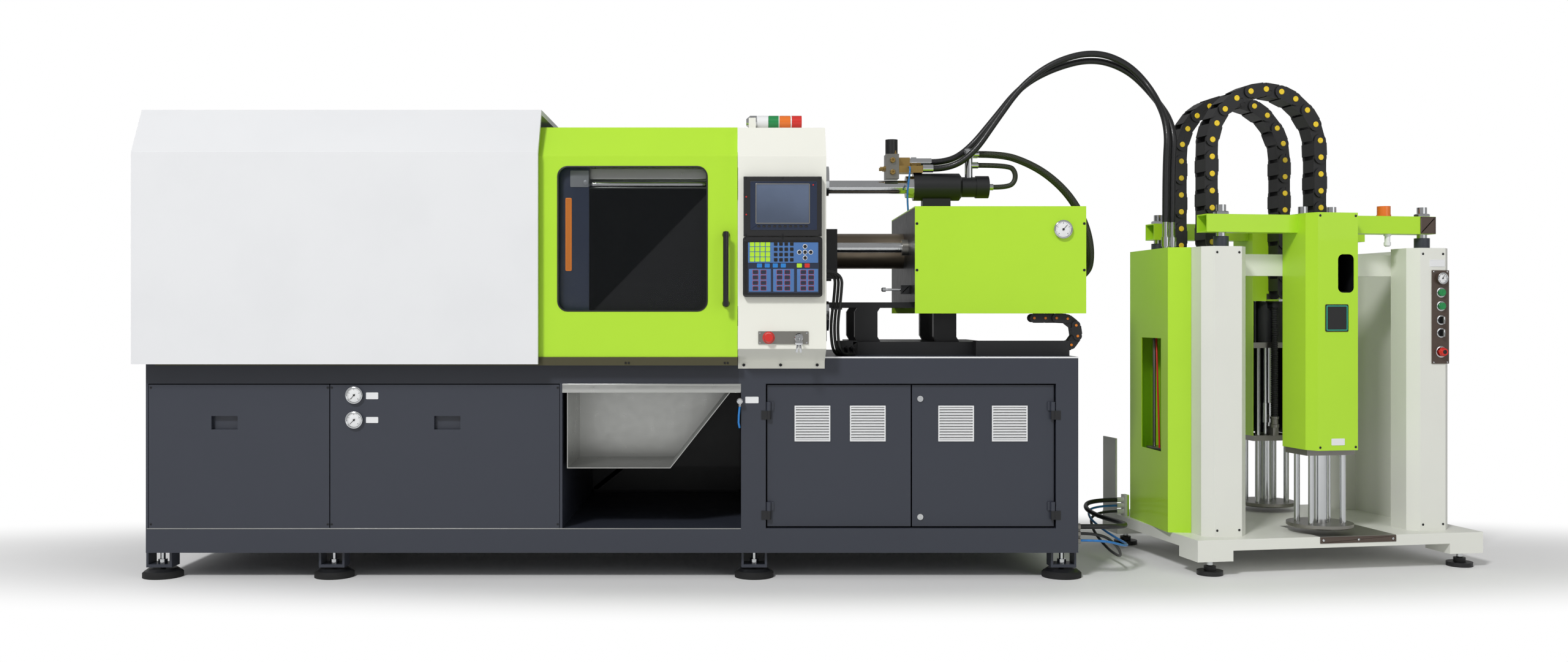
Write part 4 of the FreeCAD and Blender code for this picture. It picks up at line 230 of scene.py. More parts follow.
class Finish:
    """Material under construction, with its Principled shader."""

    def __init__(self, name):
        self.material = bpy.data.materials.new(name)
        self.material.use_nodes = True
        self.tree = self.material.node_tree
        self.tree.nodes.clear()
        self.output = self.tree.nodes.new("ShaderNodeOutputMaterial")
        self.shader = self.tree.nodes.new("ShaderNodeBsdfPrincipled")
        self.tree.links.new(self.shader.outputs[0], self.output.inputs[0])

    def feed(self, socket, value):
        if isinstance(value, Wire):
            self.tree.links.new(value.socket, socket)
        elif socket.type == "RGBA" and len(value) == 3:
            socket.default_value = tuple(value) + (1.0,)
        else:
            socket.default_value = value

    def add(self, kind, settings=None, *values, output=0, **named):
        """Node of a type with its settings, then its sockets by place or name."""
        made = self.tree.nodes.new(kind)
        for key, value in (settings or {}).items():
            setattr(made, key, value)
        for index, value in enumerate(values):
            if value is not None:
                self.feed(made.inputs[index], value)
        for key, value in named.items():
            self.feed(made.inputs[key.replace("_", " ")], value)
        return Wire(self, made.outputs[output])

    def mix(self, share, first, second, blending="MIX"):
        """Colour between two colours."""
        made = self.tree.nodes.new("ShaderNodeMix")
        made.data_type = "RGBA"
        made.blend_type = blending
        for index, value in ((0, share), (6, first), (7, second)):
            self.feed(made.inputs[index], value)
        return Wire(self, made.outputs[2])

    def tint(self, share, first, second):
        """One colour times another, by a share."""
        return self.mix(share, first, second, "MULTIPLY")

    def place(self, station="machine"):
        """Place on the station in millimetres, as a vector and its three numbers."""
        where = self.add("ShaderNodeTexCoord", output=3)
        matrix = STATIONS[station]
        turn = (0.0, 0.0, DOSING_TURN if station == "dosing" else 0.0)
        spot = self.add("ShaderNodeMapping", {"vector_type": "TEXTURE"}, where,
                        tuple(matrix.translation), turn, (MM, MM, MM))
        parts = self.add("ShaderNodeSeparateXYZ", None, spot)
        split = parts.socket.node
        return spot, [Wire(self, split.outputs[index]) for index in range(3)]

    def grain(self, spot, pitch, detail=2.0, stretch=(1.0, 1.0, 1.0)):
        """Noise from 0 to 1 whose features are about one pitch wide, in millimetres."""
        if stretch != (1.0, 1.0, 1.0):
            spot = self.add("ShaderNodeMapping", None, spot, (0.0, 0.0, 0.0), (0.0, 0.0, 0.0), stretch)
        return self.add("ShaderNodeTexNoise", None, spot, Scale=1 / pitch, Detail=detail)

    def bump(self, height, strength, distance=MM):
        self.feed(self.shader.inputs["Normal"],
                  self.add("ShaderNodeBump", None, Strength=strength, Distance=distance, Height=height))

    def set(self, **named):
        for key, value in named.items():
            self.feed(self.shader.inputs[key.replace("_", " ")], value)
        return self.material


# texture kinds: noise pitch in mm, colour change, roughness change, bump strength, stretch
TEXTURES = {
    "paint": (2.2, 0.03, 0.08, 0.035, (1, 1, 1)),
    "powder": (1.2, 0.05, 0.10, 0.10, (1, 1, 1)),
    "cast": (5.0, 0.12, 0.16, 0.25, (1, 1, 1)),
    "brushed": (1.0, 0.16, 0.14, 0.06, (0.02, 1, 1)),
    "upright": (1.0, 0.14, 0.12, 0.05, (1, 1, 0.02)),
    "polished": (24.0, 0.04, 0.05, 0.01, (0.3, 1, 1)),
    "moulded": (0.8, 0.06, 0.10, 0.06, (1, 1, 1)),
    "rubber": (1.6, 0.14, 0.14, 0.20, (1, 1, 1)),
}
# looks: colour, roughness, metallic, coat
LOOKS = {
    "lime": ("lime", 0.38, 0.0, 0.18),
    "slate": ("slate", 0.42, 0.0, 0.12),
    "guard": ("guard", 0.40, 0.0, 0.12),
    "column": ("column", 0.38, 0.0, 0.15),
    "dosing": ("dosing", 0.42, 0.0, 0.12),
    "platen": ("platen", 0.46, 0.35, 0.0),
    "stainless": ("stainless", 0.30, 0.92, 0.0),
    "steel": ("steel", 0.34, 0.90, 0.0),
    "chrome": ("chrome", 0.12, 1.0, 0.0),
    "black": ("black", 0.42, 0.10, 0.10),
    "plastic": ("plastic", 0.46, 0.0, 0.0),
    "gloss": ("plastic", 0.22, 0.0, 0.3),
    "navy": ("navy", 0.36, 0.0, 0.1),
    "sky": ("sky", 0.40, 0.0, 0.1),
    "red": ("red", 0.34, 0.0, 0.3),
    "green": ("green", 0.34, 0.0, 0.3),
    "amber": ("amber", 0.26, 0.0, 0.4),
    "yellow": ("yellow", 0.42, 0.0, 0.1),
    "orange": ("orange", 0.42, 0.0, 0.1),
    "barrel": ("barrel", 0.36, 0.85, 0.0),
    "brass": ("brass", 0.34, 0.85, 0.0),
    "strip": ("strip", 0.30, 0.35, 0.2),
    "olive": ("olive", 0.46, 0.60, 0.0),
    "white": ("white", 0.42, 0.0, 0.1),
    "teal": ("teal", 0.40, 0.0, 0.1),
    "rubber": ("rubber", 0.78, 0.0, 0.0),
    "air": ("air", 0.32, 0.0, 0.2),
    "hose": ("hose", 0.42, 0.0, 0.1),
    "braid": ("braid", 0.50, 0.30, 0.0),
}
MATERIALS = {}


def layered(name, look, texture="paint", regions=(), station="machine", shade=None):
    """Finish of one look, with other looks where their masks are one, and painted shade where a shade mask
    is given.
    """
    if name in MATERIALS:
        return MATERIALS[name]
    finish = Finish(name)
    spot, axes = finish.place(station)
    base, rough, metal, coat = LOOKS[look]
    base = colour(base)
    for mask_of, other in regions:
        mask = mask_of(*axes)
        over, over_rough, over_metal, over_coat = LOOKS[other]
        base = finish.mix(mask, base, colour(over))
        rough = rough + mask * (over_rough - rough)
        metal = metal + mask * (over_metal - metal)
        coat = coat + mask * (over_coat - coat)
    pitch, stain, sheen, relief, stretch = TEXTURES[texture]
    fine = finish.grain(spot, pitch, 3.0, stretch)
    broad = finish.grain(spot, 260.0, 3.0)
    worn = finish.grain(spot, 38.0, 4.0)
    base = finish.tint(stain, base, finish.mix(fine, (0.25, 0.25, 0.25), (1.0, 1.0, 1.0)))
    base = finish.tint(broad.ramp(0.35, 0.75, 0.0, 0.05), base, (0.55, 0.56, 0.58))
    # painted shade: the shade mask darkens the colour towards a grey
    if shade:
        base = finish.tint(shade(*axes), base, (0.52, 0.53, 0.55))
    finish.bump(fine + worn * 0.4, relief)
    MATERIALS[name] = finish.set(Base_Color=base, Roughness=rough + (worn - 0.5) * sheen, Metallic=metal,
                                 Coat_Weight=coat)
    return MATERIALS[name]


def plain(look, texture="paint"):
    """Finish of one look over a whole piece."""
    return layered("%s_%s" % (look, texture), look, texture)


def chosen(finish):
    """Material of a finish that is given as it is, or by the look and texture of a plain one."""
    return plain(*finish.split()) if isinstance(finish, str) else finish


def glass(name, look, alpha, rough=0.04):
    """Clear or tinted sheet with faint smears."""
    if name not in MATERIALS:
        finish = Finish(name)
        smear = finish.grain(finish.place()[0], 180.0, 2.0, (1.0, 1.0, 0.35))
        finish.bump(smear, 0.01)
        MATERIALS[name] = finish.set(Base_Color=finish.mix(smear, look, [part * 0.7 for part in look]),
                                     Roughness=rough + smear * 0.06, Alpha=alpha + (smear - 0.5) * 0.06)
    return MATERIALS[name]


def wound(name, look, length, radius, pitch, relief, second=None):
    """Hose or cable finish whose windings follow the tube's own map."""
    if name not in MATERIALS:
        finish = Finish(name)
        chart = finish.add("ShaderNodeUVMap")
        split = finish.add("ShaderNodeSeparateXYZ", None, chart).socket.node
        along = Wire(finish, split.outputs[0]) * (length / pitch)
        around = Wire(finish, split.outputs[1]) * 8.0
        ridges = (along + around).combine("SINE", (along + around) * 6.2832, 0.0)
        cross = (along - around).combine("SINE", (along - around) * 6.2832, 0.0)
        weave = (ridges | cross) * 0.5 + 0.5
        base, rough, metal, coat = LOOKS[look]
        base = colour(base)
        worn = finish.grain(finish.place()[0], 30.0, 3.0)
        low = colour(second) if second else [part * 0.45 for part in base]
        shade = finish.mix(weave, low, base)
        finish.bump(weave, relief, radius * 0.04)
        MATERIALS[name] = finish.set(Base_Color=finish.tint(worn * 0.25, shade, (0.5, 0.5, 0.5)),
                                     Roughness=rough + (worn - 0.5) * 0.16, Metallic=metal,
                                     Coat_Weight=coat)
    return MATERIALS[name]


def sheath(name, look, length, radius):
    """Nearly smooth finish of one cable or tube."""
    return wound("sheath_" + name, look, length, radius * MM, 0.05, 0.06)


# ---------------------------------------------------------------- modelling by hand

def clear_selection():
    """Go back to object mode with nothing selected."""
    if bpy.context.mode != "OBJECT":
        bpy.ops.object.mode_set(mode="OBJECT")
    bpy.ops.object.select_all(action="DESELECT")


def take(piece):
    """Make one piece the only selected and active one."""
    clear_selection()
    piece.select_set(True)
    bpy.context.view_layer.objects.active = piece


def choose(piece, faces=None, edges=None):
    """Enter edit mode with the faces or edges selected that a test names."""
    take(piece)
    mesh = piece.data
    for part in list(mesh.vertices) + list(mesh.edges) + list(mesh.polygons):
        part.select = False
    bpy.context.tool_settings.mesh_select_mode = (False, edges is not None, faces is not None)
    if faces:
        for face in mesh.polygons:
            face.select = faces(face)
    if edges:
        for edge in mesh.edges:
            first, last = (mesh.vertices[index].co for index in edge.vertices)
            edge.select = edges(first, last)
    bpy.ops.object.mode_set(mode="EDIT")


def leave():
    """Leave edit mode."""
    bpy.ops.object.mode_set(mode="OBJECT")


def cut_faces(piece, test):
    """Delete the faces that a test names."""
    choose(piece, faces=test)
    bpy.ops.mesh.delete(type="FACE")
    leave()


def along(axis):
    """Test for edges that run along one axis."""
    return lambda first, last: (last - first).cross(TOWARDS[axis]).length < 1e-6


def soften(piece, width, segments=2, angle=32):
    """Round the sharp edges, with the modifier applied."""
    take(piece)
    bevel = piece.modifiers.new("soft_edges", "BEVEL")
    bevel.width = width
    bevel.segments = segments
    bevel.limit_method = "ANGLE"
    bevel.angle_limit = math.radians(angle)
    bpy.ops.object.modifier_apply(modifier=bevel.name)


def block(name, x, y, z, corner=0.0, axis="y", edge=None):
    """Box between two corners in millimetres, with rounded corners along one axis."""
    clear_selection()
    spans = (x, y, z)
    bpy.ops.mesh.primitive_cube_add(size=1, location=[(low + high) / 2 * MM for low, high in spans],
                                    scale=[(high - low) * MM for low, high in spans])
    piece = bpy.context.object
    piece.name = name
    bpy.ops.object.transform_apply(location=True, rotation=True, scale=True)
    if corner:
        choose(piece, edges=along(axis))
        bpy.ops.mesh.bevel(offset=corner * MM, segments=5, affect="EDGES")
        leave()
    thinnest = min(high - low for low, high in spans) * MM
    soften(piece, min(sizes().edge if edge is None else edge * MM, thinnest * 0.3))
    return piece


def sink(piece, axis, sign, inset, depth, cut=False):
    """Inset the outermost faces on one side and push them in by a depth, in millimetres, or cut them out."""
    index = "xyz".index(axis)
    limit = max(sign * face.center[index] for face in piece.data.polygons)
    choose(piece, faces=lambda face: sign * face.normal[index] > FLAT
           and sign * face.center[index] > limit - 1e-6)
    bpy.ops.mesh.inset(thickness=inset * MM)
    if depth:
        push = [0.0, 0.0, 0.0]
        push[index] = -sign * depth * MM
        bpy.ops.mesh.extrude_region_move(TRANSFORM_OT_translate={"value": push})
    if cut:
        bpy.ops.mesh.delete(type="FACE")
    leave()
    return piece


def opened(piece, axis, sign, inset):
    """Leave only a rim of the outermost faces on one side, and take the opposite side away."""
    index = "xyz".index(axis)
    sink(piece, axis, sign, inset, 0.0, cut=True)
    cut_faces(piece, lambda face: sign * face.normal[index] < -FLAT)
    return piece


def turned(name, steps, at, facing="up", sides=None, edge=0.0):
    """Round piece drawn up step by step from its foot; a step is a radius and a height in millimetres."""
    clear_selection()
    radius, height = steps[0]
    bpy.ops.mesh.primitive_circle_add(vertices=sides or sizes().round_sides, radius=radius * MM,
                                      fill_type="NGON", location=(0, 0, height * MM))
    piece = bpy.context.object
    piece.name = name
    bpy.ops.object.transform_apply(location=True, rotation=True, scale=True)
    bpy.context.tool_settings.mesh_select_mode = (False, False, True)
    bpy.ops.object.mode_set(mode="EDIT")
    bpy.ops.mesh.select_all(action="SELECT")
    for next_radius, next_height in steps[1:]:
        bpy.ops.mesh.extrude_region_move(
            TRANSFORM_OT_translate={"value": (0, 0, (next_height - height) * MM)})
        if next_radius != radius:
            ratio = next_radius / radius
            bpy.ops.transform.resize(value=(ratio, ratio, 1), center_override=(0, 0, next_height * MM))
        radius, height = next_radius, next_height
    bpy.ops.mesh.select_all(action="SELECT")
    bpy.ops.mesh.normals_make_consistent(inside=False)
    leave()
    if edge:
        soften(piece, edge * MM)
    piece.matrix_world = Matrix.Translation([part * MM for part in at]) @ FACINGS[facing]
    take(piece)
    bpy.ops.object.transform_apply(location=True, rotation=True, scale=True)
    return piece


def bar(name, start, end, radius, sides=None, edge=0.6):
    """Round bar between two points in millimetres."""
    run = Vector(end) - Vector(start)
    piece = turned(name, ((radius, 0), (radius, run.length)), (0, 0, 0), "up", sides, edge)
    piece.matrix_world = (Matrix.Translation(Vector(start) * MM)
                          @ run.to_track_quat("Z", "Y").to_matrix().to_4x4())
    take(piece)
    bpy.ops.object.transform_apply(location=True, rotation=True, scale=True)
    return piece


def hexagon(name, at, radius, height, facing="front", socket=True):
    """Bolt head with a chamfered rim and a sunk socket."""
    steps = [(radius, 0), (radius, height * 0.8), (radius * 0.86, height)]
    if socket:
        steps += [(radius * 0.5, height), (radius * 0.5, height * 0.4)]
    return turned(name, steps, at, facing, sides=6)


def screw_head(name, at, radius, facing="front"):
    """Low round head with a sunk recess."""
    return turned(name, ((radius, 0), (radius, radius * 0.25), (radius * 0.72, radius * 0.5),
                         (radius * 0.4, radius * 0.52), (radius * 0.34, radius * 0.2)), at, facing, sides=16)


def joined(name, pieces):
    """One piece from several."""
    clear_selection()
    for piece in pieces:
        piece.select_set(True)
    bpy.context.view_layer.objects.active = pieces[0]
    if len(pieces) > 1:
        bpy.ops.object.join()
    whole = bpy.context.object
    whole.name = name
    return whole


def repeated(name, piece, shifts):
    """The piece and its copies, moved by shifts in millimetres, each with its own mesh, as one."""
    copies = []
    for shift in shifts:
        twin = piece.copy()
        twin.data = piece.data.copy()
        twin.data.transform(Matrix.Translation(Vector(shift) * MM))
        bpy.context.scene.collection.objects.link(twin)
        copies.append(twin)
    mesh = piece.data
    bpy.data.objects.remove(piece)
    bpy.data.meshes.remove(mesh)
    return joined(name, copies)


def fitted(piece, finish, body="machine", station="machine", smooth=34):
    """Set a finished piece down on its station, with its finish, slot and body."""
    piece.data.transform(STATIONS[station] @ piece.matrix_world)
    piece.matrix_world = Matrix.Identity(4)
    take(piece)
    bpy.ops.object.shade_smooth_by_angle(angle=math.radians(smooth))
    piece.data.name = piece.name
    piece.data.materials.clear()
    piece.data.materials.append(chosen(finish))
    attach(piece, body)
    return piece


def grouped(name, pieces, finish, body="machine", station="machine"):
    """Join pieces into one and set it down."""
    return fitted(joined(name, pieces), finish, body, station)


def spread(across, up, level):
    """Places on an upright face where two rows of numbers cross."""
    return [(x, level, z) for x in across for z in up]


def dress(names, finish):
    """Give CAD nodes a finish on all their slots."""
    material = chosen(finish)
    for name in names.split():
        mesh = NODES[name].data
        if not mesh.materials:
            mesh.materials.append(material)
        for index in range(len(mesh.materials)):
            mesh.materials[index] = material


# ---------------------------------------------------------------- stage

def ray_share(finish):
    """One for camera and transmission rays."""
    path = finish.tree.nodes.new("ShaderNodeLightPath")
    seen = [Wire(finish, path.outputs[name]) for name in ("Is Camera Ray", "Is Transmission Ray")]
    return seen[0] | seen[1]


def louvre_fields(x, y, z):
    """Mask of the four louvred fields on the cabinet doors."""
    spans = [(x - middle).between(-71.5, 71.5) for middle in (2667, 2889, 3243, 3458)]
    return z.between(552.5, 695.5) * (spans[0] | spans[1] | spans[2] | spans[3]) * (y < -500)


def build_stage():
    """Floor that fades to white, two lamps, a white world and the photo's camera."""
    scene = bpy.context.scene
    clear_selection()
    bpy.ops.mesh.primitive_grid_add(x_subdivisions=6, y_subdivisions=4, size=2, location=(0, 0, 0))
    floor = bpy.context.object
    floor.name = "floor"
    bpy.ops.transform.resize(value=(26, 20, 1), center_override=(0, 0, 0))
    bpy.ops.object.transform_apply(location=True, rotation=True, scale=True)
    finish = Finish("studio_floor")
    spot, (x, y, _) = finish.place()
    grain = finish.grain(spot, 400.0)
    beside = x - CELL_MIDDLE
    reach = (y * y).combine("SQRT", beside * beside * FADE_SQUEEZE + y * y, 0.0)
    fade = reach.ramp(*FADE_REACH) * ray_share(finish)
    finish.set(Base_Color=finish.mix(grain, (0.86, 0.86, 0.86), (0.90, 0.90, 0.90)), Roughness=0.7)
    glow = finish.tree.nodes.new("ShaderNodeEmission")
    blend = finish.tree.nodes.new("ShaderNodeMixShader")
    finish.feed(blend.inputs[0], fade)
    finish.tree.links.new(finish.shader.outputs[0], blend.inputs[1])
    finish.tree.links.new(glow.outputs[0], blend.inputs[2])
    finish.tree.links.new(blend.outputs[0], finish.output.inputs[0])
    floor.data.materials.append(finish.material)

    world = bpy.data.worlds.new("studio")
    scene.world = world
    world.use_nodes = True
    sky = Finish.__new__(Finish)
    sky.tree = world.node_tree
    sky.tree.nodes.clear()
    far = sky.tree.nodes.new("ShaderNodeBackground")
    out = sky.tree.nodes.new("ShaderNodeOutputWorld")
    sky.feed(far.inputs["Color"], (1.0, 1.0, 1.0))
    sky.feed(far.inputs["Strength"], ray_share(sky).ramp(0.0, 1.0, SKY_LIGHT, 1.0))
    sky.tree.links.new(far.outputs[0], out.inputs[0])

    for name, place, target, width, power in LAMPS:
        clear_selection()
        bpy.ops.object.light_add(type="AREA", location=place)
        lamp = bpy.context.object
        lamp.name = name
        lamp.data.shape = "SQUARE"
        lamp.data.size = width
        lamp.data.energy = power
        lamp.rotation_euler = (Vector(target) - Vector(place)).to_track_quat("-Z", "Y").to_euler()

    clear_selection()
    bpy.ops.object.camera_add(location=(-0.35155, -6.018, 1.063), rotation=(math.pi / 2, 0, 0))
    camera = bpy.context.object
    camera.name = "photo_camera"
    camera.data.sensor_width = 36.0
    camera.data.lens = 31.57
    camera.data.shift_x = 0.0285
    camera.data.shift_y = -0.0109
    scene.camera = camera
    scene.view_settings.view_transform = "Standard"


# ---------------------------------------------------------------- finishes of the CAD nodes

def finish_machine_nodes():
    """Finishes of the machine's nodes, with masks where one node has several colours."""
    for names, finish in (
            ("front_door injection_cover", "lime paint"), ("front_door_handle", "gloss moulded"),
            ("foot_pads", "rubber rubber"), ("upper_cam_lock lower_cam_lock key_switch", "chrome polished"),
            ("screen_unit keypad_unit", "plastic moulded"), ("tail_platen", "platen cast"),
            ("tie_bars hose_fittings", "chrome polished"), ("carriage_bed", "black cast"),
            ("screw", "steel polished"),
            ("front_window", glass("clear_pane", (0.04, 0.045, 0.05), 0.10)),
            ("rear_window", glass("tinted_pane", (0.012, 0.013, 0.016), 0.86))):
        dress(names, finish)
    # painted shade: the guard's facets above z 1700 are darkened a little, where the lamps light them more
    # than its front
    dress("clamp_guard", layered("guard_sheet", "guard",
                                 shade=lambda x, y, z: z.ramp(1698.0, 1704.0, 0.0, 0.14)))
    dress("base_frame", layered("base_weldment", "slate", "powder", (
        (lambda x, y, z: (y < -550.5) * (z > 859), "olive"),
        (lambda x, y, z: (y < -550.5) * z.between(200, 780) * (x > 2400), "black"),
        (lambda x, y, z: x > 3730.5, "steel"),
        # painted highlight: a strip in the guard's grey along the base's top front edge right of x 2715
        (lambda x, y, z: (y < -549) * z.between(886.0, 892.4) * (x > 2715), "guard"),
        (lambda x, y, z: z > 892.5, "black")),
        # painted shadow: the base's front above z 785, under the guard and the door, is darkened
        shade=lambda x, y, z: (z > 785) * (x < 2372) * (y < -500) * 0.7))
    for names, name, look, texture, regions in (
            ("rear_door", "rear_door_sheet", "lime", "paint", ((lambda x, y, z: y > 600.5, "plastic"),)),
            ("left_front_panel centre_front_panel left_cabinet_door right_cabinet_door", "panel_sheet",
             "slate", "powder", ((louvre_fields, "white"),)),
            ("foot_bolts", "foot_steel", "chrome", "polished", ((lambda x, y, z: z < 48, "black"),)),
            ("air_gauges pressure_gauge", "gauge_case", "chrome", "polished", ()),
            ("product_chute", "chute_sheet", "stainless", "brushed", ()),
            ("control_column", "column_sheet", "column", "paint", (
                (lambda x, y, z: (y < -660.5) * z.between(940, 1000), "steel"),)),
            ("emergency_stop_button", "stop_cap", "red", "moulded", ((lambda x, y, z: y > -674, "black"),)),
            ("signal_tower", "tower_lenses", "white", "moulded", (
                (lambda x, y, z: x < 2444, "chrome"),
                (lambda x, y, z: x.between(2491, 2532), "green"),
                (lambda x, y, z: x.between(2536, 2580), "amber"),
                (lambda x, y, z: x > 2585, "red"))),
            ("moving_platen", "moving_casting", "platen", "cast", ((lambda x, y, z: x < 1559, "chrome"),)),
            ("fixed_platen", "fixed_casting", "black", "cast", (
                (lambda x, y, z: (x > 2790) | (y.between(-29.6, 29.6) * z.between(1590, 1650) * (x > 2700)),
                 "chrome"),)),
            ("injection_carriage", "carriage_casting", "black", "cast", (
                (lambda x, y, z: x < 3091.5, "steel"),)),
            ("barrel", "barrel_tube", "barrel", "brushed", ()),
            ("carriage_cylinder", "cylinder_tube", "black", "paint", (
                (lambda x, y, z: x < 3137, "chrome"),)),
            ("mixing_block", "mixing_steel", "steel", "brushed", (
                (lambda x, y, z: x > 3072, "brass"), (lambda x, y, z: z > 1762, "black")))):
        dress(names, layered(name, look, texture, regions))


def hood_inside_shade(middle, fold, sign):
    """Mask of a hood's inner faces, painted black as shade, drawn through its sheet; beyond the fold its
    corners are cut off.
    """
    def mask(u, v, z):
        half, slant = 115, 25 / 44
        reach = u.combine("ABSOLUTE", u - middle, 0.0)
        depth = (v - fold) * sign
        return ((reach < half) * (reach + depth * slant < half) * depth.between(-166, 44)
                * z.between(503.5, 1477))
    return mask


def finish_dosing_nodes():
    """Finishes of the dosing unit's nodes: nodes, name, look, texture and the masks with their looks."""
    for names, name, look, texture, regions in (
            ("dosing_stand", "stand_sheet", "dosing", "paint", (
                (lambda u, v, z: u.between(455, 800) * v.between(-60.5, 240) * (z > 144), "steel"),)),
            ("dosing_feet", "dosing_foot", "plastic", "moulded", ((lambda u, v, z: z > 40, "chrome"),)),
            ("dosing_frame", "frame_sheet", "dosing", "paint", ((lambda u, v, z: z > 1341.5, "slate"),)),
            ("supply_cabinet", "supply_sheet", "lime", "paint", (
                (lambda u, v, z: z > 1341.5, "chrome"),
                (lambda u, v, z: (u < -60.5) * (z < 260) * (v > 595), "dosing"))),
            ("lift_beam_a", "beam_a_sheet", "lime", "paint", (
                (lambda u, v, z: (z > 1475.5) * u.between(800, 880), "amber"),)),
            ("lift_beam_b", "beam_b_sheet", "lime", "paint", ()),
            ("lift_rods_a lift_rods_b", "lift_rod", "chrome", "polished", ()),
            # the hoods' inner faces are black: painted shade
            ("pump_hood_a", "hood_a_sheet", "lime", "paint", ((hood_inside_shade(532, -20, -1), "black"),)),
            ("pump_hood_b", "hood_b_sheet", "lime", "paint", ((hood_inside_shade(672, 788, 1), "black"),)),
            ("pump_a pump_b", "pump_steel", "chrome", "upright", (
                (lambda u, v, z: z.between(931.5, 1119.5), "black"),
                (lambda u, v, z: z.between(905, 931.6) | z.between(477, 503.5) | z.between(1129, 1156),
                 "steel"),
                (lambda u, v, z: z < 192.5, "steel"))),
            ("control_strip", "strip_sheet", "strip", "brushed", ()),
            ("start_button_1 start_button_2", "start_cap", "green", "moulded", ()),
            ("selector_1 selector_2", "selector_cap", "plastic", "moulded", ()),
            ("strip_stop_knob", "strip_stop_cap", "red", "moulded", ())):
        dress(names, layered(name, look, texture, regions, "dosing"))


# ---------------------------------------------------------------- hoses and cables

def from_dosing(u, v, z):
    """Point of the dosing unit in the machine's frame, in millimetres."""
    cosine, sine = math.cos(DOSING_TURN), math.sin(DOSING_TURN)
    return (4295 + u * cosine - v * sine, -436 + u * sine + v * cosine, z)


def in_metres(points):
    """Points of the machine's frame in the part's frame."""
    return [STATIONS["machine"] @ (Vector(point) * MM) for point in points]


def hose_curve(name, points, radius):
    """Smooth curve with the route's points as its control points."""
    line = bpy.data.curves.new(name, "CURVE")
    line.dimensions = "3D"
    spline = line.splines.new("NURBS")
    spline.points.add(len(points) - 1)
    for slot, place in zip(spline.points, in_metres(points)):
        slot.co = (*place, 1.0)
    spline.order_u = 3
    spline.use_endpoint_u = True
    spline.resolution_u = 14
    line.bevel_depth = radius * MM
    line.bevel_resolution = 5
    line.use_fill_caps = True
    piece = bpy.data.objects.new(name, line)
    bpy.context.scene.collection.objects.link(piece)
    return piece


def lay_cord(name, points, radius, material, body, node=None):
    """Cord along given points, with its finish, slot and body."""
    piece = hose_curve(name, points, radius)
    piece.data.materials.append(material)
    if node:
        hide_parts(node)
    in_metres(points)[0]
    2 * radius * MM
    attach(piece, body)


def centre_line(piece):
    """Places along a curve, read from it with its bevel left off."""
    depth = piece.data.bevel_depth
    piece.data.bevel_depth = 0.0
    bpy.context.view_layer.update()
    graph = bpy.context.evaluated_depsgraph_get()
    line = bpy.data.meshes.new_from_object(piece.evaluated_get(graph))
    places = [vertex.co.copy() for vertex in line.vertices]
    bpy.data.meshes.remove(line)
    piece.data.bevel_depth = depth
    return places


def as_mesh(piece):
    """Turn a curve into a smooth mesh."""
    take(piece)
    bpy.ops.object.convert(target="MESH")
    whole = bpy.context.object
    bpy.ops.object.shade_smooth_by_angle(angle=math.radians(50))
    return whole


def feed_route(side):
    """Points of one feed hose, from the mixing block to the supply cabinet."""
    lift, crown = (0, 0) if side < 0 else (34, -26)
    across = 28 * side
    near = 0.6 * across
    end = from_dosing(-58 + 18 * side, 236 + 6 * side, 1452)
    return [(3222, across, 1699 + lift), (3296, across, 1699 + lift), (3394, 2.1 * across, 1760 + lift),
            (3500, 1.6 * across, 1912 + 0.3 * lift), (3610, near - 4, 2062),
            (3752, near - 10, 2168 + crown), (3925, near - 18, 2212 + crown),
            (4070, near - 28, 2158 + 0.7 * crown), (4172, near - 52, 2034),
            (end[0] + 10, end[1] - 6, 1862), (end[0], end[1], 1680), end]


def build_feed_hoses():
    """Two feed hoses that bend between the injection unit and the dosing unit."""
    for name, side, length in (("feed_hose_front", -1, 1.854), ("feed_hose_rear", 1, 1.816)):
        points = feed_route(side)
        line = hose_curve(name, points, 14)
        places = centre_line(line)
        piece = as_mesh(line)
        piece.data.materials.append(wound("feed_hose_cover", "hose", 1.85, 0.014, 0.020, 0.25))
        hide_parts("feed_hoses")
        start, end = in_metres([(3300, 0, 1740), (4180, 0, 1740)])
        in_metres(points)[0]
        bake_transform(piece)


def build_return_hoses():
    """Two long braided hoses and a loop, all on the injection unit."""
    long_route = ((3424, 1764), (3532, 1764), (3634, 1730), (3730, 1676), (3822, 1590), (3886, 1484),
                  (3918, 1372), (3917, 1277), (3894, 1238), (3855, 1215), (3810, 1215))
    loop_route = ((3424, 1716), (3560, 1716), (3588, 1688), (3588, 1648), (3560, 1620), (3490, 1620))
    for name, across, route, radius, length in (
            ("return_hose_front", -18, long_route, 13, 0.916),
            ("return_hose_rear", 18, long_route, 13, 0.916),
            ("loop_hose", 0, loop_route, 11, 0.318)):
        cover = wound("braid_%s" % name, "braid", length, radius * MM, 0.012, 0.5, "hose")
        lay_cord(name, [(x, across, z) for x, z in route], radius, cover,
                 "injection_unit", "return_hoses")


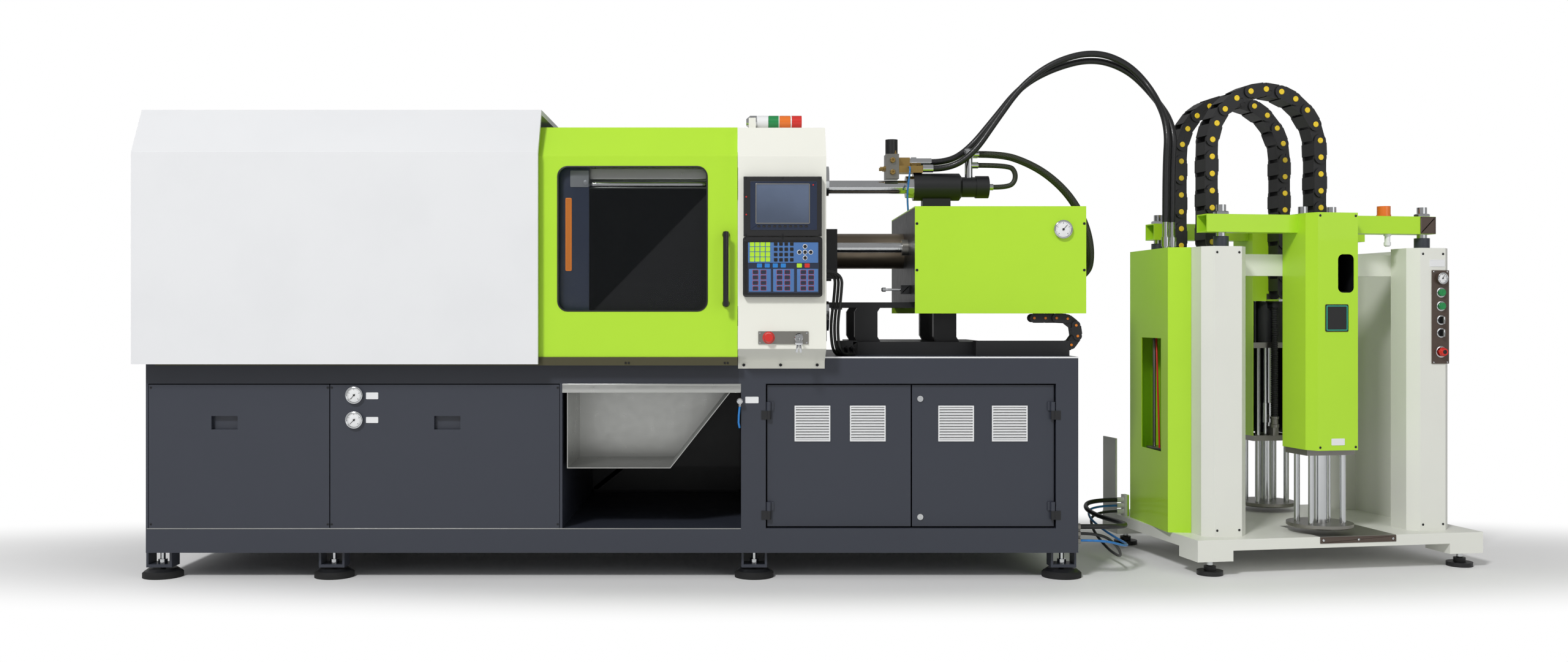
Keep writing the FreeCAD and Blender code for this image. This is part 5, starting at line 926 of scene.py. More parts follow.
def build_floor_cables():
    """Power cable, air tube and signal cable between the two units."""
    nears = [from_dosing(-228, 640, 170 + 26 * step) for step in range(3)]
    ends = [from_dosing(-104, 640, 170 + 26 * step) for step in range(3)]
    routes = {
        "power_cable": ([(3748, -505, 206), (3860, -505, 206), (3950, -430, 196), (3985, -310, 188),
                         (3965, -180, 184), (3925, -60, 188), (3903, 55, 206), nears[2], ends[2]],
                        10, 0.950, "hose"),
        "air_tube": ([(3748, -505, 150), (3850, -505, 150), (3945, -448, 118), (3992, -330, 104),
                      (3982, -200, 108), (3946, -75, 132), (3918, 50, 168), nears[1], ends[1]],
                     5, 0.959, "air"),
        "signal_cable": ([(3748, -505, 178), (3836, -505, 178), (3915, -446, 118), (3958, -350, 62),
                          (3975, -230, 40), (3962, -110, 52), (3932, 30, 112), nears[0], ends[0]],
                         6, 0.961, "hose"),
    }
    for name, (points, radius, length, look) in routes.items():
        lay_cord(name, points, radius, sheath(name, look, length, radius), "machine",
                 "floor_cables")


HARNESS = {"radius": 6.0, "lengths": (0.608, 0.582, 0.556), "outlet": 1236, "gland": 918}


def harness_places(step):
    """Where one cable leaves the column's side wall and enters the box on the base."""
    return (2715, -512 + 13 * step, HARNESS["outlet"]), (2846 - 22 * step, -300, HARNESS["gland"])


def harness_route(step):
    """Points of one cable, which hangs down and bends back over the base."""
    (side, y, top), (gland, back, level) = harness_places(step)
    over = 26 - 13 * step
    return [(side - 7, y, top), (2764 + over, y, top), (2758 + over, y, 1130), (2742 + over, y, 1010),
            (2754 + over, y + 8, 899), (gland, y + 84 - 8 * step, 898), (gland + 2, -368, 898),
            (gland, -332, level), (gland, back + 2, level)]


def build_column_harness():
    """Three cables that drop from the control column to a junction box on the base."""
    radius = HARNESS["radius"]
    box = [sink(block("junction", (2780, 2870), (-300, -224), (892, 950), 6.0), "z", 1, 6.0, 2.0)]
    for step, length in enumerate(HARNESS["lengths"]):
        name = "harness_cable_%d" % (step + 1)
        lay_cord(name, harness_route(step), radius, sheath(name, "hose", length, radius),
                 "machine")
        for place, facing in zip(harness_places(step), ("right", "front")):
            box.append(turned("gland", ((11, 0), (11, 6), (8, 8), (8, 16)), place, facing, sides=6))
    grouped("deck_junction", box, "black moulded")
    strap = block("harness_strap", (2744, 2788), (-520, -478), (1080, 1087), 5.0, "z")
    fitted(strap, "black moulded")


# ---------------------------------------------------------------- cable chains

def chain_pins(first_leg, radius, second_leg, pitch):
    """Pin places (along, across) up a leg, round half a turn and down the second leg."""
    arc = math.pi * radius
    total = first_leg + arc + second_leg
    count = round(total / pitch)
    places = []
    for index in range(count + 1):
        reach = index * total / count
        if reach <= first_leg:
            places.append((reach, 0.0))
        elif reach <= first_leg + arc:
            angle = (reach - first_leg) / radius
            places.append((first_leg + radius * math.sin(angle), radius * (1 - math.cos(angle))))
        else:
            places.append((2 * first_leg - reach + arc, 2 * radius))
    return places


def chain_copy(node, name):
    """Mesh of a CAD chain with its doubles merged, in place of the node."""
    clear_selection()
    piece = bpy.data.objects.new(name, NODES[node].data.copy())
    piece.data.name = name
    bpy.context.scene.collection.objects.link(piece)
    choose(piece, faces=lambda face: True)
    bpy.ops.mesh.remove_doubles(threshold=1e-6)
    leave()
    piece.data.materials.clear()
    piece.data.materials.append(plain("plastic", "moulded"))
    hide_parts(node)
    return piece


def pin_discs(name, places, faces, radius, station, finish):
    """Coloured discs over the pins on both sides of a chain."""
    pieces = []
    for facing, level in faces:
        disc = turned("pin_disc", ((radius, 0), (radius, 2.0), (radius * 0.8, 3.0), (radius * 0.45, 3.0),
                                   (radius * 0.4, 2.4)), (0, level, 0), facing, sides=16)
        pieces.append(repeated("pins", disc, [(x, 0, z) for x, z in places]))
    piece = joined(name, pieces)
    piece.data.transform(STATIONS[station])
    piece.data.name = name
    piece.data.materials.clear()
    piece.data.materials.append(chosen(finish))
    return piece


def build_chains():
    """Two lift chains and the carriage chain, each with coloured pin discs."""
    for letter, start_u, front_v, end_z in (("a", 121, 200, 1420), ("b", 149, 520, 1130)):
        links = chain_copy("lift_chain_" + letter, "lift_links_" + letter)
        pins = chain_pins(CHAIN_TURN - CHAIN_FOOT - END_LINK, 253, CHAIN_TURN - end_z - END_LINK, 74)
        places = [(start_u + across, CHAIN_FOOT + END_LINK + rise) for rise, across in pins]
        faces = (("front", front_v - 0.4), ("back", front_v + 94.4))
        discs = pin_discs("lift_pins_" + letter, places, faces, sizes().lift_pin / MM, "dosing",
                          "yellow moulded")
        start = STATIONS["dosing"] @ Vector(((start_u + 40) * MM, front_v * MM, 1.6))
        end = STATIONS["dosing"] @ Vector(((start_u + 466) * MM, front_v * MM, 1.6))
        for piece in (links, discs):
            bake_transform(piece)
    links = chain_copy("carriage_chain", "carriage_links")
    pins = chain_pins(286, 60, 0.42 * 286, 45)
    places = [(3420 + along_x, 926 + rise) for along_x, rise in pins]
    discs = pin_discs("carriage_pins", places, (("front", -401.4), ("back", -338.6)),
                      sizes().carriage_pin / MM, "machine", "orange moulded")
    start, end = in_metres([(3500, -370, 940), (3500, -370, 1034)])
    for piece in (links, discs):
        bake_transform(piece)


# ---------------------------------------------------------------- dials

def dial(name, at, radius, lean, body="machine", station="machine"):
    """Gauge face with its marks, needle and rim."""
    x, y, z = at
    face = turned(name + "_face", ((radius, 0), (radius, 0.8), (radius - 0.8, 1.2)), at, "front")
    fitted(face, "white moulded", body, station)
    marks = []
    for step in range(21):
        angle = math.radians(225 - step * 13.5)
        long_mark = step % 5 == 0
        inner = radius * (0.70 if long_mark else 0.80)
        half = 0.9 if long_mark else 0.45
        mark = block("mark", (inner, radius * 0.9), (-0.3, 0.0), (-half, half), edge=0.1)
        mark.data.transform(Matrix.Translation(Vector((x, y - 1.3, z)) * MM)
                            @ Matrix.Rotation(-angle, 4, "Y"))
        marks.append(mark)
    needle = block("needle", (-radius * 0.22, radius * 0.74), (-0.8, 0.0), (-0.8, 0.8), edge=0.2)
    needle.data.transform(Matrix.Translation(Vector((x, y - 2.2, z)) * MM)
                          @ Matrix.Rotation(math.radians(-lean), 4, "Y"))
    hub = turned("hub", ((radius * 0.14, 0), (radius * 0.14, 2.4), (radius * 0.08, 3.4)),
                 (x, y - 1.2, z), "front", sides=20)
    grouped(name + "_marks", marks + [needle, hub], "plastic moulded", body, station)
    rim = turned(name + "_rim", ((radius + 4.4, 0), (radius + 4.4, 1.6), (radius + 2.2, 2.6),
                                 (radius + 0.4, 1.4), (radius + 0.4, -1.2)), (x, y - 2.4, z), "front")
    for sign in (1, -1):
        cut_faces(rim, lambda part: sign * part.normal.y > 0.9
                  and part.area > 0.5 * math.pi * (radius * MM) ** 2)
    fitted(rim, "chrome polished", body, station)



def build_dials():
    """Dials of the two air gauges, the cover's gauge and the control strip's gauge."""
    dial("upper_air_dial", (836, -561.2, 739), 28, 230)
    dial("lower_air_dial", (836, -561.2, 640), 28, 225)
    dial("cover_dial", (3696, -441.2, 1408), 32, 48, "injection_unit")
    dial("strip_dial", (1057, -5.2, 1213), 20, 60, station="dosing")


# ---------------------------------------------------------------- base and column

def scattered(name, places, radius, finish, facing="front", body="machine", station="machine",
              head=screw_head):
    """The same screw at several places, as one piece."""
    screw = head("screw_head", (0, 0, 0), radius, facing=facing)
    return fitted(repeated(name, screw, places), finish, body, station)


def small_bolt(name, at, radius, facing="front"):
    """Hexagon head whose height goes with its radius."""
    return hexagon(name, at, radius, radius * 0.9, facing)


def build_base_details():
    """Screws, bare fields, chute hem, a bright strip on the sill's edge as a painted highlight, drain valve
    and its tube.
    """
    scattered("panel_screws", spread((20, 728, 744, 1648), (768, 222), BASE_FRONT), 4.5,
              "black moulded")
    scattered("flange_bolts", spread((2392, 2539, 2685), (859,), -556), sizes().bolt / MM,
              "black moulded", head=small_bolt)
    scattered("track_bolts", spread((1924, 1936, 2316, 2328), (869,), -605), 4.5,
              "black moulded", head=small_bolt)
    # painted highlight: a thin stainless strip where light catches the sill's top edge
    sill = block("sill_edge", (4, 2380), (-552, -549), (203, 206.5), edge=0.8)
    fitted(sill, "stainless brushed")
    fields = [sink(block("field", x, (BASE_FRONT - 1.6, BASE_FRONT), z, 3.0), "y", -1, 2.0, 0.4)
              for x, z in (((881, 930), (722, 749)), ((881, 930), (627, 651)), ((2398, 2451), (706, 732)))]
    grouped("blank_fields", fields, "white moulded")
    hem = [block("hem", (1666, 2380), (-556, -549.5), (776, 784), edge=1.5),
           block("hem", (1666, 2380), (-553.5, -549.5), (748, 777), edge=1.0)]
    grouped("chute_hem", hem, "stainless brushed")
    valve = [turned("valve", ((9, 0), (9, 6), (6, 8), (6, 20)), (2376, BASE_FRONT, 716), "front", sides=6),
             turned("valve_knob", ((11, 0), (12, 3), (12, 10), (8, 13)), (2376, -570, 716), "front"),
             turned("valve_foot", ((6, 0), (6, 16), (4, 20)), (2376, -562, 694), "up")]
    grouped("drain_valve", valve, "chrome polished")
    runs = (((2376, -562, 697), (2372, -562, 660)), ((2372, -562, 661), (2371, -561, 628)),
            ((2371, -561, 629), (2375, -556, 608)))
    grouped("drain_tube", [bar("drain", start, end, 4) for start, end in runs], "air moulded")


def build_bay_cover():
    """Rear cover of the product bay, hung on the back of the base."""
    sheet = block("bay_rear_cover", (1650, 2398), (561.5, 564.5), (196, 792), 8.0)
    sink(sheet, "y", -1, 24.0, 0.8)
    fold = block("cover_fold", (1650, 2398), (550, 563), (786, 792), edge=0.8)
    hems = [block("cover_hem", x, (550, 563), (196, 790), edge=0.8) for x in ((1650, 1655), (2393, 2398))]
    grouped("bay_rear_cover", [sheet, fold] + hems, "black powder")
    screws = [screw_head("screw", place, 5.0, "back") for place in
              spread((1668, 2380), (214, 494, 774), 564.5)]
    grouped("bay_cover_screws", screws, "chrome polished")


def build_column_details():
    """Screen, lights, keys, screws and switch collars of the control column."""
    surround = block("screen_field", (2417, 2677), (-691.5, -688), (1390, 1579), 3.0)
    fitted(sink(surround, "y", -1, 3.0, 0.6), "navy moulded")
    display = block("display", (2440, 2646), (-692.2, SCREEN_FRONT), (1417, 1568), 3.0)
    fitted(sink(display, "y", -1, 2.2, 0.8), display_finish())
    edge = block("display_edge", (2437, 2649), (-692.6, SCREEN_FRONT), (1414, 1571), 4.0)
    fitted(opened(edge, "y", -1, 2.6), "steel moulded")
    keys = repeated("screen_keys", block("key", (-6, 6), (-1.6, 0), (-4, 4), 1.5, edge=0.4),
                    [(2450 + 20.5 * step, -691.3, 1404.5) for step in range(10)])
    fitted(keys, "gloss moulded")
    lights = [turned("light", ((3, 0), (3, 1.4), (1.6, 2.4)), place, "front", sides=14) for place in
              ((2662, -691.3, 1565), (2401, -689.8, 1519), (2401, -689.8, 1450))]
    grouped("screen_lights", lights, "red moulded")
    scattered("screen_screws", spread((2400, 2543, 2686), (1592, 1372), SCREEN_FRONT), 4.0,
              "black moulded")
    scattered("keypad_screws", spread((2396, 2543, 2690), (1359, 1134), KEYPAD_FRONT), 4.0,
              "black moulded")
    rim = block("keypad_rim", (2390, 2696), (-688, KEYPAD_FRONT), (1131, 1350), 8.0)
    fitted(sink(rim, "y", -1, 7, 3), "gloss moulded")
    build_keys()
    scattered("plate_screws", spread((2455, 2638), (951, 989), PLATE_FRONT), 3.5,
              "chrome polished")
    collar = turned("stop_collar", ((24, 0), (24, 2), (20, 5), (13, 5)), (2489, PLATE_FRONT, 970), "front")
    fitted(collar, "red moulded")
    ring = turned("key_collar", ((17, 0), (17, 3), (14, 6), (12, 6)), (2607, PLATE_FRONT, 970), "front")
    fitted(ring, "chrome polished")
    keyring = []
    for x, y, lean in ((2603, -700, 0.12), (2609, -704, -0.10)):
        key = block("key", (-4.5, 4.5), (-1.2, 1.2), (-46, -16), 3.0, edge=0.3)
        bow = turned("bow", ((11, 0), (11, 2.4)), (0, 1.2, -8), "front", sides=20, edge=0.4)
        pair = joined("hung_key", [key, bow])
        pair.data.transform(Matrix.Translation(Vector((x, y, 958)) * MM) @ Matrix.Rotation(lean, 4, "Y"))
        keyring.append(pair)
    grouped("hung_keys", keyring, "chrome polished", "key_switch")


def display_finish():
    """Dark glass screen with a painted sheen of sky across it."""
    finish = Finish("display_glass")
    spot, (x, _, z) = finish.place()
    cloud = finish.grain(spot, 90.0, 3.0)
    # painted reflection: lighter towards the top and right, with cloudy patches
    rise = (z - 1417) * (1 / 151) + (x - 2440) * (0.4 / 206)
    base = colour("display")
    tone = finish.mix(rise.ramp(0.1, 1.3) * 0.6 + cloud * 0.3, [part * 0.62 for part in base],
                      [part * 1.5 for part in base])
    return finish.set(Base_Color=tone, Roughness=0.16 + cloud * 0.08, Coat_Weight=0.4)


def keypad_place(across, down):
    """Place on the keypad's face from the drawing's coordinates."""
    return (1544.6 + KEYPAD_SCALE * across, 1904.4 - KEYPAD_SCALE * down)


def field(name, left, right, top, bottom, level=FIELD_LEVEL):
    """Thin sheet on the keypad, between two corners of the drawing."""
    (x0, z1), (x1, z0) = keypad_place(left, top), keypad_place(right, bottom)
    return block(name, (x0, x1), (level, level + 1.0), (z0, z1), 2.0, edge=0.3)


def key_set(name, columns, rows, wide, high, finish, level=KEY_LEVEL):
    """Raised keys in rows and columns, with their edges rounded."""
    key = block("key", (-wide / 2, wide / 2), (-0.2, 1.4), (-high / 2, high / 2), 2.0, edge=0.5)
    choose(key, faces=lambda face: face.normal.y < -FLAT)
    bpy.ops.mesh.inset(thickness=1.2 * MM)
    bpy.ops.transform.translate(value=(0, 0.35 * MM, 0))
    leave()
    places = []
    for across in columns:
        for down in rows:
            x, z = keypad_place(across, down)
            places.append((x, level, z))
    return fitted(repeated(name, key, places), finish)


def build_keys():
    """Fields, keys, key rims and arrow keys of the keypad."""
    fitted(field("keypad_base", 1048, 1384, 676, 924, level=-685.6), "navy moulded")
    fields = [field("main_field", 1049, 1381, 678, 780), field("left_field", 1053, 1157, 809, 917),
              field("middle_field", 1168, 1267, 809, 917), field("right_field", 1281, 1381, 809, 917)]
    grouped("keypad_fields", fields, "sky moulded")
    key_set("lime_keys", (1068, 1093, 1118, 1143), (692, 716, 740, 764), 17.5, 17.5,
            "lime moulded")
    key_set("number_keys", (1180, 1205, 1230, 1256), (691, 716, 741, 766), 14, 14,
            "gloss moulded")
    for name, columns, slot, finish in (
            ("function_keys", (1103, 1140, 1178, 1216), "keypad_blue", "air moulded"),
            ("start_key", (1292,), "machine_lime", "lime moulded"),
            ("stop_key", (1329,), "red_plastic", "red moulded")):
        key_set(name, columns, (793,), 20, 16, finish, level=LOW_KEY_LEVEL)
    rows = (824, 849, 875, 901)
    for side, columns in (("left", (1084, 1122)), ("middle", (1198, 1235)), ("right", (1311, 1348))):
        key_set(side + "_key_rims", columns, rows, 22.5, 17, "red moulded", level=-686.9)
        key_set(side + "_keys", columns, rows, 20.5, 15, "navy moulded")
    places = [keypad_place(1319 + across, 730 + down) for across, down in
              ((0, 0), (-27, 0), (27, 0), (0, -27), (0, 27))]
    for name, steps, level, slot, finish in (
            ("arrow_keys", ((7, 0), (7, 1.2), (5.6, 1.8)), LOW_KEY_LEVEL, "dark_plastic", "gloss moulded"),
            ("arrow_rings", ((9, 0), (9, 0.6), (8.4, 0.9)), FIELD_LEVEL, "column_white", "white moulded")):
        discs = [turned("disc", steps, (x, level, z), "front", sides=24) for x, z in places]
        grouped(name, discs, finish)


# ---------------------------------------------------------------- doors

def build_door_details():
    """Sheets, beams and rail behind the front door's window, its gasket and the handle's feet."""
    pane_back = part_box("front_window")[1][1] / MM - MACHINE_Y
    sheet = block("splash_sheet", (1776, 2262), (pane_back + 1, pane_back + 4), (1060, 1560), edge=0.5)
    fitted(sink(sheet, "y", -1, 6.0, 0.5), splash_reflection_finish(), "front_door")
    baffle = [block("baffle", (1640, 1775), (pane_back + 2, pane_back + 5), (1060, 1660), 4.0),
              block("baffle_fold", (1765, 1775), (pane_back + 5, pane_back + 30), (1060, 1660))]
    grouped("inner_baffle", baffle, "navy powder", "front_door")
    guard = block("orange_guard", (1681, 1706), (pane_back - 0.5, pane_back + 2), (1234, 1525), 5.0)
    fitted(sink(guard, "y", -1, 3.0, 0.6), "orange moulded", "front_door")
    plate = [block("plate", (1700, 1774), (pane_back - 0.5, pane_back + 2), (1568, 1634), 4.0),
             turned("plate_knob", ((11, 0), (11, 2), (6, 4)), (1762, pane_back - 0.5, 1585), "front")]
    grouped("baffle_plate", plate, "platen powder", "front_door")
    beams = [sink(block("beam", (1560, 2369), (-535, -505), levels, 3.0, "x"), "y", -1, 6.0, 5.0)
             for levels in ((1602, 1650), (1530, 1563))]
    grouped("inner_beams", beams, "stainless brushed")
    fitted(bar("inner_rail", (1560, -522, 1582), (2369, -522, 1582), 15), "chrome polished")
    gasket = opened(block("window_gasket", (1652, 2249), (-602.5, -599), (1072, 1649), 41.0), "y", -1, 5)
    take(gasket)
    wall = gasket.modifiers.new("wall", "SOLIDIFY")
    wall.thickness = 1.0 * MM
    bpy.ops.object.modifier_apply(modifier=wall.name)
    fitted(gasket, "plastic rubber", "front_door")
    feet = [turned("handle_foot", ((15, 0), (15, 6), (12, 12)), (2321, -600, z), "front")
            for z in (1104, 1376)]
    grouped("handle_feet", feet, "gloss moulded", "front_door")


def splash_reflection_finish():
    """Black sheet with a painted reflection that makes it lighter below a diagonal."""
    finish = Finish("splash_black")
    spot, (x, _, z) = finish.place()
    # painted reflection: lighter below the diagonal
    lit = ((x - 1776) * (500 / 486) + (1060 - z)).ramp(-2.0, 4.0)
    smear = finish.grain(spot, 60.0, 3.0)
    tone = finish.mix(lit, (0.0012, 0.0012, 0.0013), (0.022, 0.022, 0.023))
    return finish.set(Base_Color=tone, Roughness=0.42 + smear * 0.1, Metallic=1.0)


# ---------------------------------------------------------------- injection unit

def build_injection_details():
    """Screws, plugs, sensor stub, anchor bracket, position wire and platen bolts."""
    scattered("cover_screws", spread((3100, 3784), (1432, 1242), -430), 5.5,
              "black moulded", body="injection_unit")
    plugs = [hexagon("plug", (3044, -42, z), 13, 12, "front") for z in (1682, 1734)]
    plugs += [turned("elbow", ((11, 0), (11, 8), (8, 10), (8, 24)), (3015, y, 1700), "left", sides=6)
              for y in (-20, 20)]
    plugs.append(turned("bleed", ((7, 0), (7, 6), (4, 8), (4, 16)), (3058, -20, 1762), "up", sides=6))
    grouped("mixing_plugs", plugs, "brass polished", "injection_unit")
    stub = [bar("sensor_rod", (2990, -262, 1165), (3091, -262, 1165), 5),
            turned("sensor_tip", ((9, 0), (9, 14), (6, 18)), (2990, -262, 1165), "left")]
    grouped("sensor_rod", stub, "chrome polished", "injection_unit")
    holder = block("sensor_holder", (3052, 3091.5), (-280, -244), (1146, 1184), 4.0)
    fitted(sink(holder, "y", -1, 6.0, 1.5), "black moulded", "injection_unit")
    bracket = [block("bracket", (2700, 2744), (-212, -176), (1010, 1212), 6.0),
               block("bracket_foot", (2716, 2744), (-232, -176), (946, 1012), 4.0)]
    grouped("anchor_bracket", bracket, "black cast")
    route = [(3116, -40, 1704), (3116, -92, 1704), (3108, -96, 1640), (3100, -92, 1570), (3108, -80, 1498)]
    lay_cord("position_wire", route, 4, sheath("position_wire", "air", 0.246, 4),
             "injection_unit")
    bolts = [hexagon("bolt", (2700, y, z), 13, 12, "right") for y in (-288, 288) for z in (1190, 1486)]
    grouped("platen_bolts", bolts, "black moulded")


# ---------------------------------------------------------------- dosing unit

def build_strip():
    """Rings, pointers, lenses, screws and bare tag of the control strip."""
    rings = [turned("ring", ((radius, 0), (radius, 2.4), (radius - 2, 3.4), (radius - 5, 3.4),
                             (radius - 5, 1.2)), (STRIP_MIDDLE, STRIP_FRONT, z), "front")
             for z, radius in ((1153, 21), (1096, 21), (1037, 20), (983, 20), (903, 24))]
    grouped("strip_rings", rings, "chrome polished", station="dosing")
    for index, z in ((1, 1037), (2, 983)):
        node = "selector_%d" % index
        front = front_level(node)
        pointer = block("pointer_%d" % index, (1053.5, 1060.5), (front - 3.2, front + 0.2),
                        (z - 15, z + 15), 2.0)
        fitted(sink(pointer, "y", -1, 1.6, 0.6), "chrome polished", node, "dosing")
        line = block("pointer_line_%d" % index, (1055.6, 1058.4), (front - 3.8, front - 2.6),
                     (z + 2, z + 13), edge=0.3)
        fitted(line, "white moulded", node, "dosing")
    for index, z in ((1, 1153), (2, 1096)):
        node = "start_button_%d" % index
        lens = turned("start_lens_%d" % index, ((12, 0), (12, 0.8), (10, 1.4), (9, 1.2)),
                      (STRIP_MIDDLE, front_level(node), z), "front")
        fitted(lens, "green moulded", node, "dosing")
    core = turned("stop_core", ((9, 0), (9, 1.0), (7, 1.8), (3, 1.8), (3, 1.2)),
                  (STRIP_MIDDLE, front_level("strip_stop_knob"), 903), "front")
    fitted(core, "black moulded", "strip_stop", "dosing")
    scattered("strip_screws", spread((1024, 1088), (1241, 859), STRIP_FRONT), 3.5,
              "chrome polished", station="dosing")
    tag = block("strip_tag", (1006, 1078), (8.4, 10), (1262, 1292), 3.0)
    fitted(sink(tag, "y", -1, 2.0, 0.4), "white moulded", station="dosing")


def build_hood_details(letter, centre, wall, facing, rods):
    """Plate with its rim, bare tag and screws on one pump hood, and the nuts of the lift's rods."""
    sign = -1 if facing == "front" else 1
    body = "lift_" + letter
    plate = block("hood_plate_" + letter, (centre - 58, centre + 46), sorted((wall, wall + 2.4 * sign)),
                  (990, 1102), 5.0)
    fitted(sink(plate, "y", sign, 4.0, 0.6), "plastic moulded", body, "dosing")
    rim = block("plate_rim_" + letter, (centre - 53, centre + 41),
                sorted((wall + 0.6 * sign, wall + 3.0 * sign)), (995, 1097), 4.0, edge=0.2)
    fitted(sink(rim, "y", sign, 3, 1.4, cut=True), "teal moulded", body, "dosing")
    tag = block("hood_tag_" + letter, (centre - 30, centre + 30), sorted((wall, wall + 1.4 * sign)),
                (524, 552), 3.0)
    fitted(sink(tag, "y", sign, 2.0, 0.3), "white moulded", body, "dosing")
    scattered("hood_screws_" + letter, spread((centre - 80, centre + 80), (1466, 516), wall), 5.0,
              "black moulded", facing, body, "dosing")
    nuts = [opened(hexagon("nut", (u, v, BEAM_TOP), 31, 14, "up", socket=False), "z", 1, 6)
            for u, v in rods]
    grouped("rod_nuts_" + letter, nuts, "chrome polished", body, "dosing")


def build_dosing_details():
    """Small pieces of the dosing unit: control strip, lifts, motor conduit, cabinet and stand."""
    build_strip()
    build_hood_details("a", 532, -66, "front", ((94, 80), (1022, 80)))
    build_hood_details("b", 672, 834, "back", ((130, 700), (1090, 700)))
    plate = block("beam_end", (984, 1056), (35.5, 38), (1402, 1474), 2.0)
    fitted(sink(plate, "y", -1, 5.0, 0.8), "strip brushed", "lift_a", "dosing")
    drop = turned("beam_fitting", ((15, 0), (15, 8), (11, 10), (11, 34), (14, 36), (14, 48), (8, 54)),
                  (845, 60, 1401), "down")
    fitted(drop, "white moulded", "lift_a", "dosing")
    conduit = [(16.0, 0.0)]
    for ring in range(52):
        conduit += [(16.0, ring * 10 + 5.0), (13.6, ring * 10 + 7.0), (13.6, ring * 10 + 9.0),
                    (16.0, ring * 10 + 10.0)]
    tube = turned("motor_conduit", conduit, (654, 604, 1110), "down", sides=20)
    fitted(tube, "hose moulded", "lift_b", "dosing", smooth=20)
    gland = block("motor_gland", (634, 674), (584, 634), (1092, 1124), 6.0, "z")
    fitted(sink(gland, "z", 1, 5.0, 2.0), "black moulded", "lift_b", "dosing")
    coupling = [turned("conduit_coupling", ((20, 0), (20, 10), (17, 12), (17, 34), (21, 36), (21, 50)),
                       (654, 604, 592), "down", sides=24),
                block("coupling_foot", (640, 668), (592, 640), (503, 546), 4.0)]
    grouped("conduit_coupling", coupling, "steel polished", "lift_b", "dosing")
    inside = [bar("rod", (u, v, 462), (u, v, 978), radius)
              for u, v, radius in ((-40, 290, 12), (-20, 360, 9), (-36, 410, 7))]
    inside.append(block("tray", (-60, 30), (250, 440), (470, 486), 4.0, "z"))
    grouped("cabinet_rods", inside, "steel upright", station="dosing")
    wire = bar("cabinet_wire", (-52, 330, 470), (-46, 372, 972), 4)
    fitted(wire, "red moulded", station="dosing")
    strip = block("drum_strip", (455, 800), (DRUM_FRONT, -60), (122, 148), 2.0)
    fitted(sink(strip, "y", -1, 3.0, 0.8), "strip brushed", station="dosing")
    scattered("drum_screws", spread((470, 628, 785), (135,), DRUM_FRONT), 5.0,
              "chrome polished", station="dosing")
    scattered("post_screws", spread((38, 136, 976, 1070), (176, 1316), 10), 5.0,
              "black moulded", station="dosing")


def front_level(node):
    """Lowest v of a dosing node, in millimetres of its station."""
    back = STATIONS["dosing"].inverted()
    return min((back @ vertex.co).y for vertex in NODES[node].data.vertices) / MM


# ---------------------------------------------------------------- operators

class MOULDING_OT_stage(Operator):
    """Add the floor, the lamps, the world and the camera"""
    bl_idname = "moulding.stage"
    bl_label = "Stage"

    def execute(self, context):
        build_stage()
        return {"FINISHED"}


class MOULDING_OT_nodes(Operator):
    """Give every CAD node its finish"""
    bl_idname = "moulding.nodes"
    bl_label = "Node finishes"

    def execute(self, context):
        finish_machine_nodes()
        finish_dosing_nodes()
        return {"FINISHED"}


class MOULDING_OT_feed_hoses(Operator):
    """Run the two feed hoses from the supply cabinet to the mixing block"""
    bl_idname = "moulding.feed_hoses"
    bl_label = "Feed hoses"

    def execute(self, context):
        build_feed_hoses()
        return {"FINISHED"}


class MOULDING_OT_return_hoses(Operator):
    """Run the braided hoses of the injection unit"""
    bl_idname = "moulding.return_hoses"
    bl_label = "Return hoses"

    def execute(self, context):
        build_return_hoses()
        return {"FINISHED"}


class MOULDING_OT_floor_cables(Operator):
    """Lay the cables and the air tube between the two units"""
    bl_idname = "moulding.floor_cables"
    bl_label = "Floor cables"

    def execute(self, context):
        build_floor_cables()
        return {"FINISHED"}


class MOULDING_OT_chains(Operator):
    """Set the cable chains with their pin discs"""
    bl_idname = "moulding.chains"
    bl_label = "Cable chains"

    def execute(self, context):
        build_chains()
        return {"FINISHED"}


class MOULDING_OT_dials(Operator):
    """Set faces, marks, needles and rims on the four gauges"""
    bl_idname = "moulding.dials"
    bl_label = "Gauge dials"

    def execute(self, context):
        build_dials()
        return {"FINISHED"}


class MOULDING_OT_base(Operator):
    """Set screws, bare fields and the drain valve on the base"""
    bl_idname = "moulding.base"
    bl_label = "Base details"

    def execute(self, context):
        build_base_details()
        return {"FINISHED"}


class MOULDING_OT_bay_cover(Operator):
    """Hang the rear cover of the product bay"""
    bl_idname = "moulding.bay_cover"
    bl_label = "Bay cover"

    def execute(self, context):
        build_bay_cover()
        return {"FINISHED"}


class MOULDING_OT_harness(Operator):
    """Run three cables from the column down to a box on the base"""
    bl_idname = "moulding.harness"
    bl_label = "Column harness"

    def execute(self, context):
        build_column_harness()
        return {"FINISHED"}


class MOULDING_OT_column(Operator):
    """Set the screen, the keys and the switch collars on the control column"""
    bl_idname = "moulding.column"
    bl_label = "Column details"

    def execute(self, context):
        build_column_details()
        return {"FINISHED"}


class MOULDING_OT_doors(Operator):
    """Set the window gasket, the sheets behind the window and the handle's feet"""
    bl_idname = "moulding.doors"
    bl_label = "Door details"

    def execute(self, context):
        build_door_details()
        return {"FINISHED"}


class MOULDING_OT_injection(Operator):
    """Set plugs, screws and the sensor on the injection unit"""
    bl_idname = "moulding.injection"
    bl_label = "Injection unit details"

    def execute(self, context):
        build_injection_details()
        return {"FINISHED"}


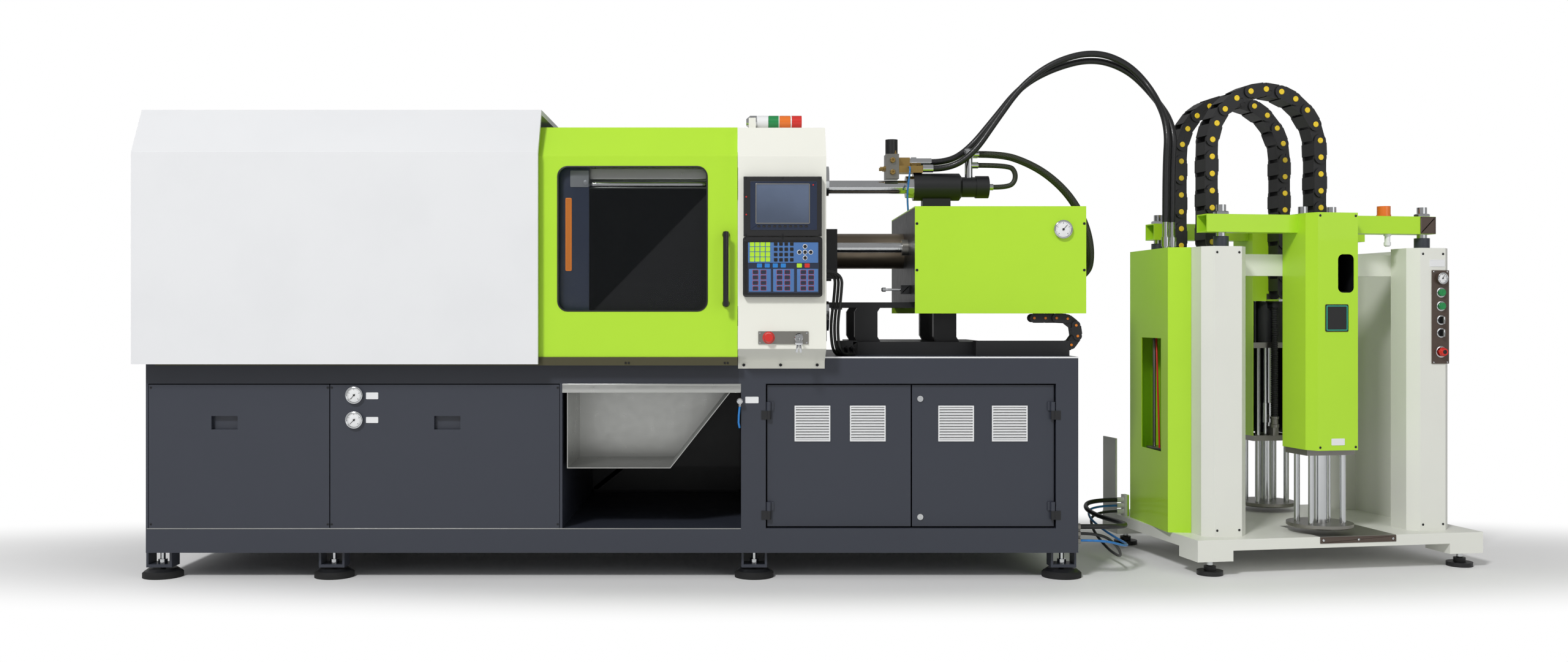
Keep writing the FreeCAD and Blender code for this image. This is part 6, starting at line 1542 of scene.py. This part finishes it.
class MOULDING_OT_dosing(Operator):
    """Set buttons, plates, nuts and tubes on the dosing unit"""
    bl_idname = "moulding.dosing"
    bl_label = "Dosing unit details"

    def execute(self, context):
        build_dosing_details()
        return {"FINISHED"}


OPERATORS = (MOULDING_OT_stage, MOULDING_OT_nodes, MOULDING_OT_feed_hoses, MOULDING_OT_return_hoses,
             MOULDING_OT_floor_cables, MOULDING_OT_harness, MOULDING_OT_chains, MOULDING_OT_dials,
             MOULDING_OT_base, MOULDING_OT_bay_cover, MOULDING_OT_column, MOULDING_OT_doors,
             MOULDING_OT_injection, MOULDING_OT_dosing)


class MOULDING_PT_panel(Panel):
    """Buttons for the pieces, and their colours and sizes"""
    bl_idname = "MOULDING_PT_panel"
    bl_label = "Moulding cell"
    bl_space_type = "VIEW_3D"
    bl_region_type = "UI"
    bl_category = "Moulding"

    def draw(self, context):
        for kind in OPERATORS:
            self.layout.operator(kind.bl_idname)
        for group in (context.scene.moulding_colours, context.scene.moulding_sizes):
            for key in group.__annotations__:
                self.layout.prop(group, key)


CLASSES = (MouldingColours, MouldingSizes) + OPERATORS + (MOULDING_PT_panel,)


def register():
    for kind in CLASSES:
        bpy.utils.register_class(kind)
    bpy.types.Scene.moulding_colours = PointerProperty(type=MouldingColours)
    bpy.types.Scene.moulding_sizes = PointerProperty(type=MouldingSizes)


def unregister():
    del bpy.types.Scene.moulding_sizes
    del bpy.types.Scene.moulding_colours
    for kind in reversed(CLASSES):
        bpy.utils.unregister_class(kind)


def main():
    register()
    bpy.ops.moulding.stage()
    bpy.ops.moulding.nodes()
    bpy.ops.moulding.feed_hoses()
    bpy.ops.moulding.return_hoses()
    bpy.ops.moulding.floor_cables()
    bpy.ops.moulding.harness()
    bpy.ops.moulding.chains()
    bpy.ops.moulding.dials()
    bpy.ops.moulding.base()
    bpy.ops.moulding.bay_cover()
    bpy.ops.moulding.column()
    bpy.ops.moulding.doors()
    bpy.ops.moulding.injection()
    bpy.ops.moulding.dosing()


if __name__ == "__main__":
    main()
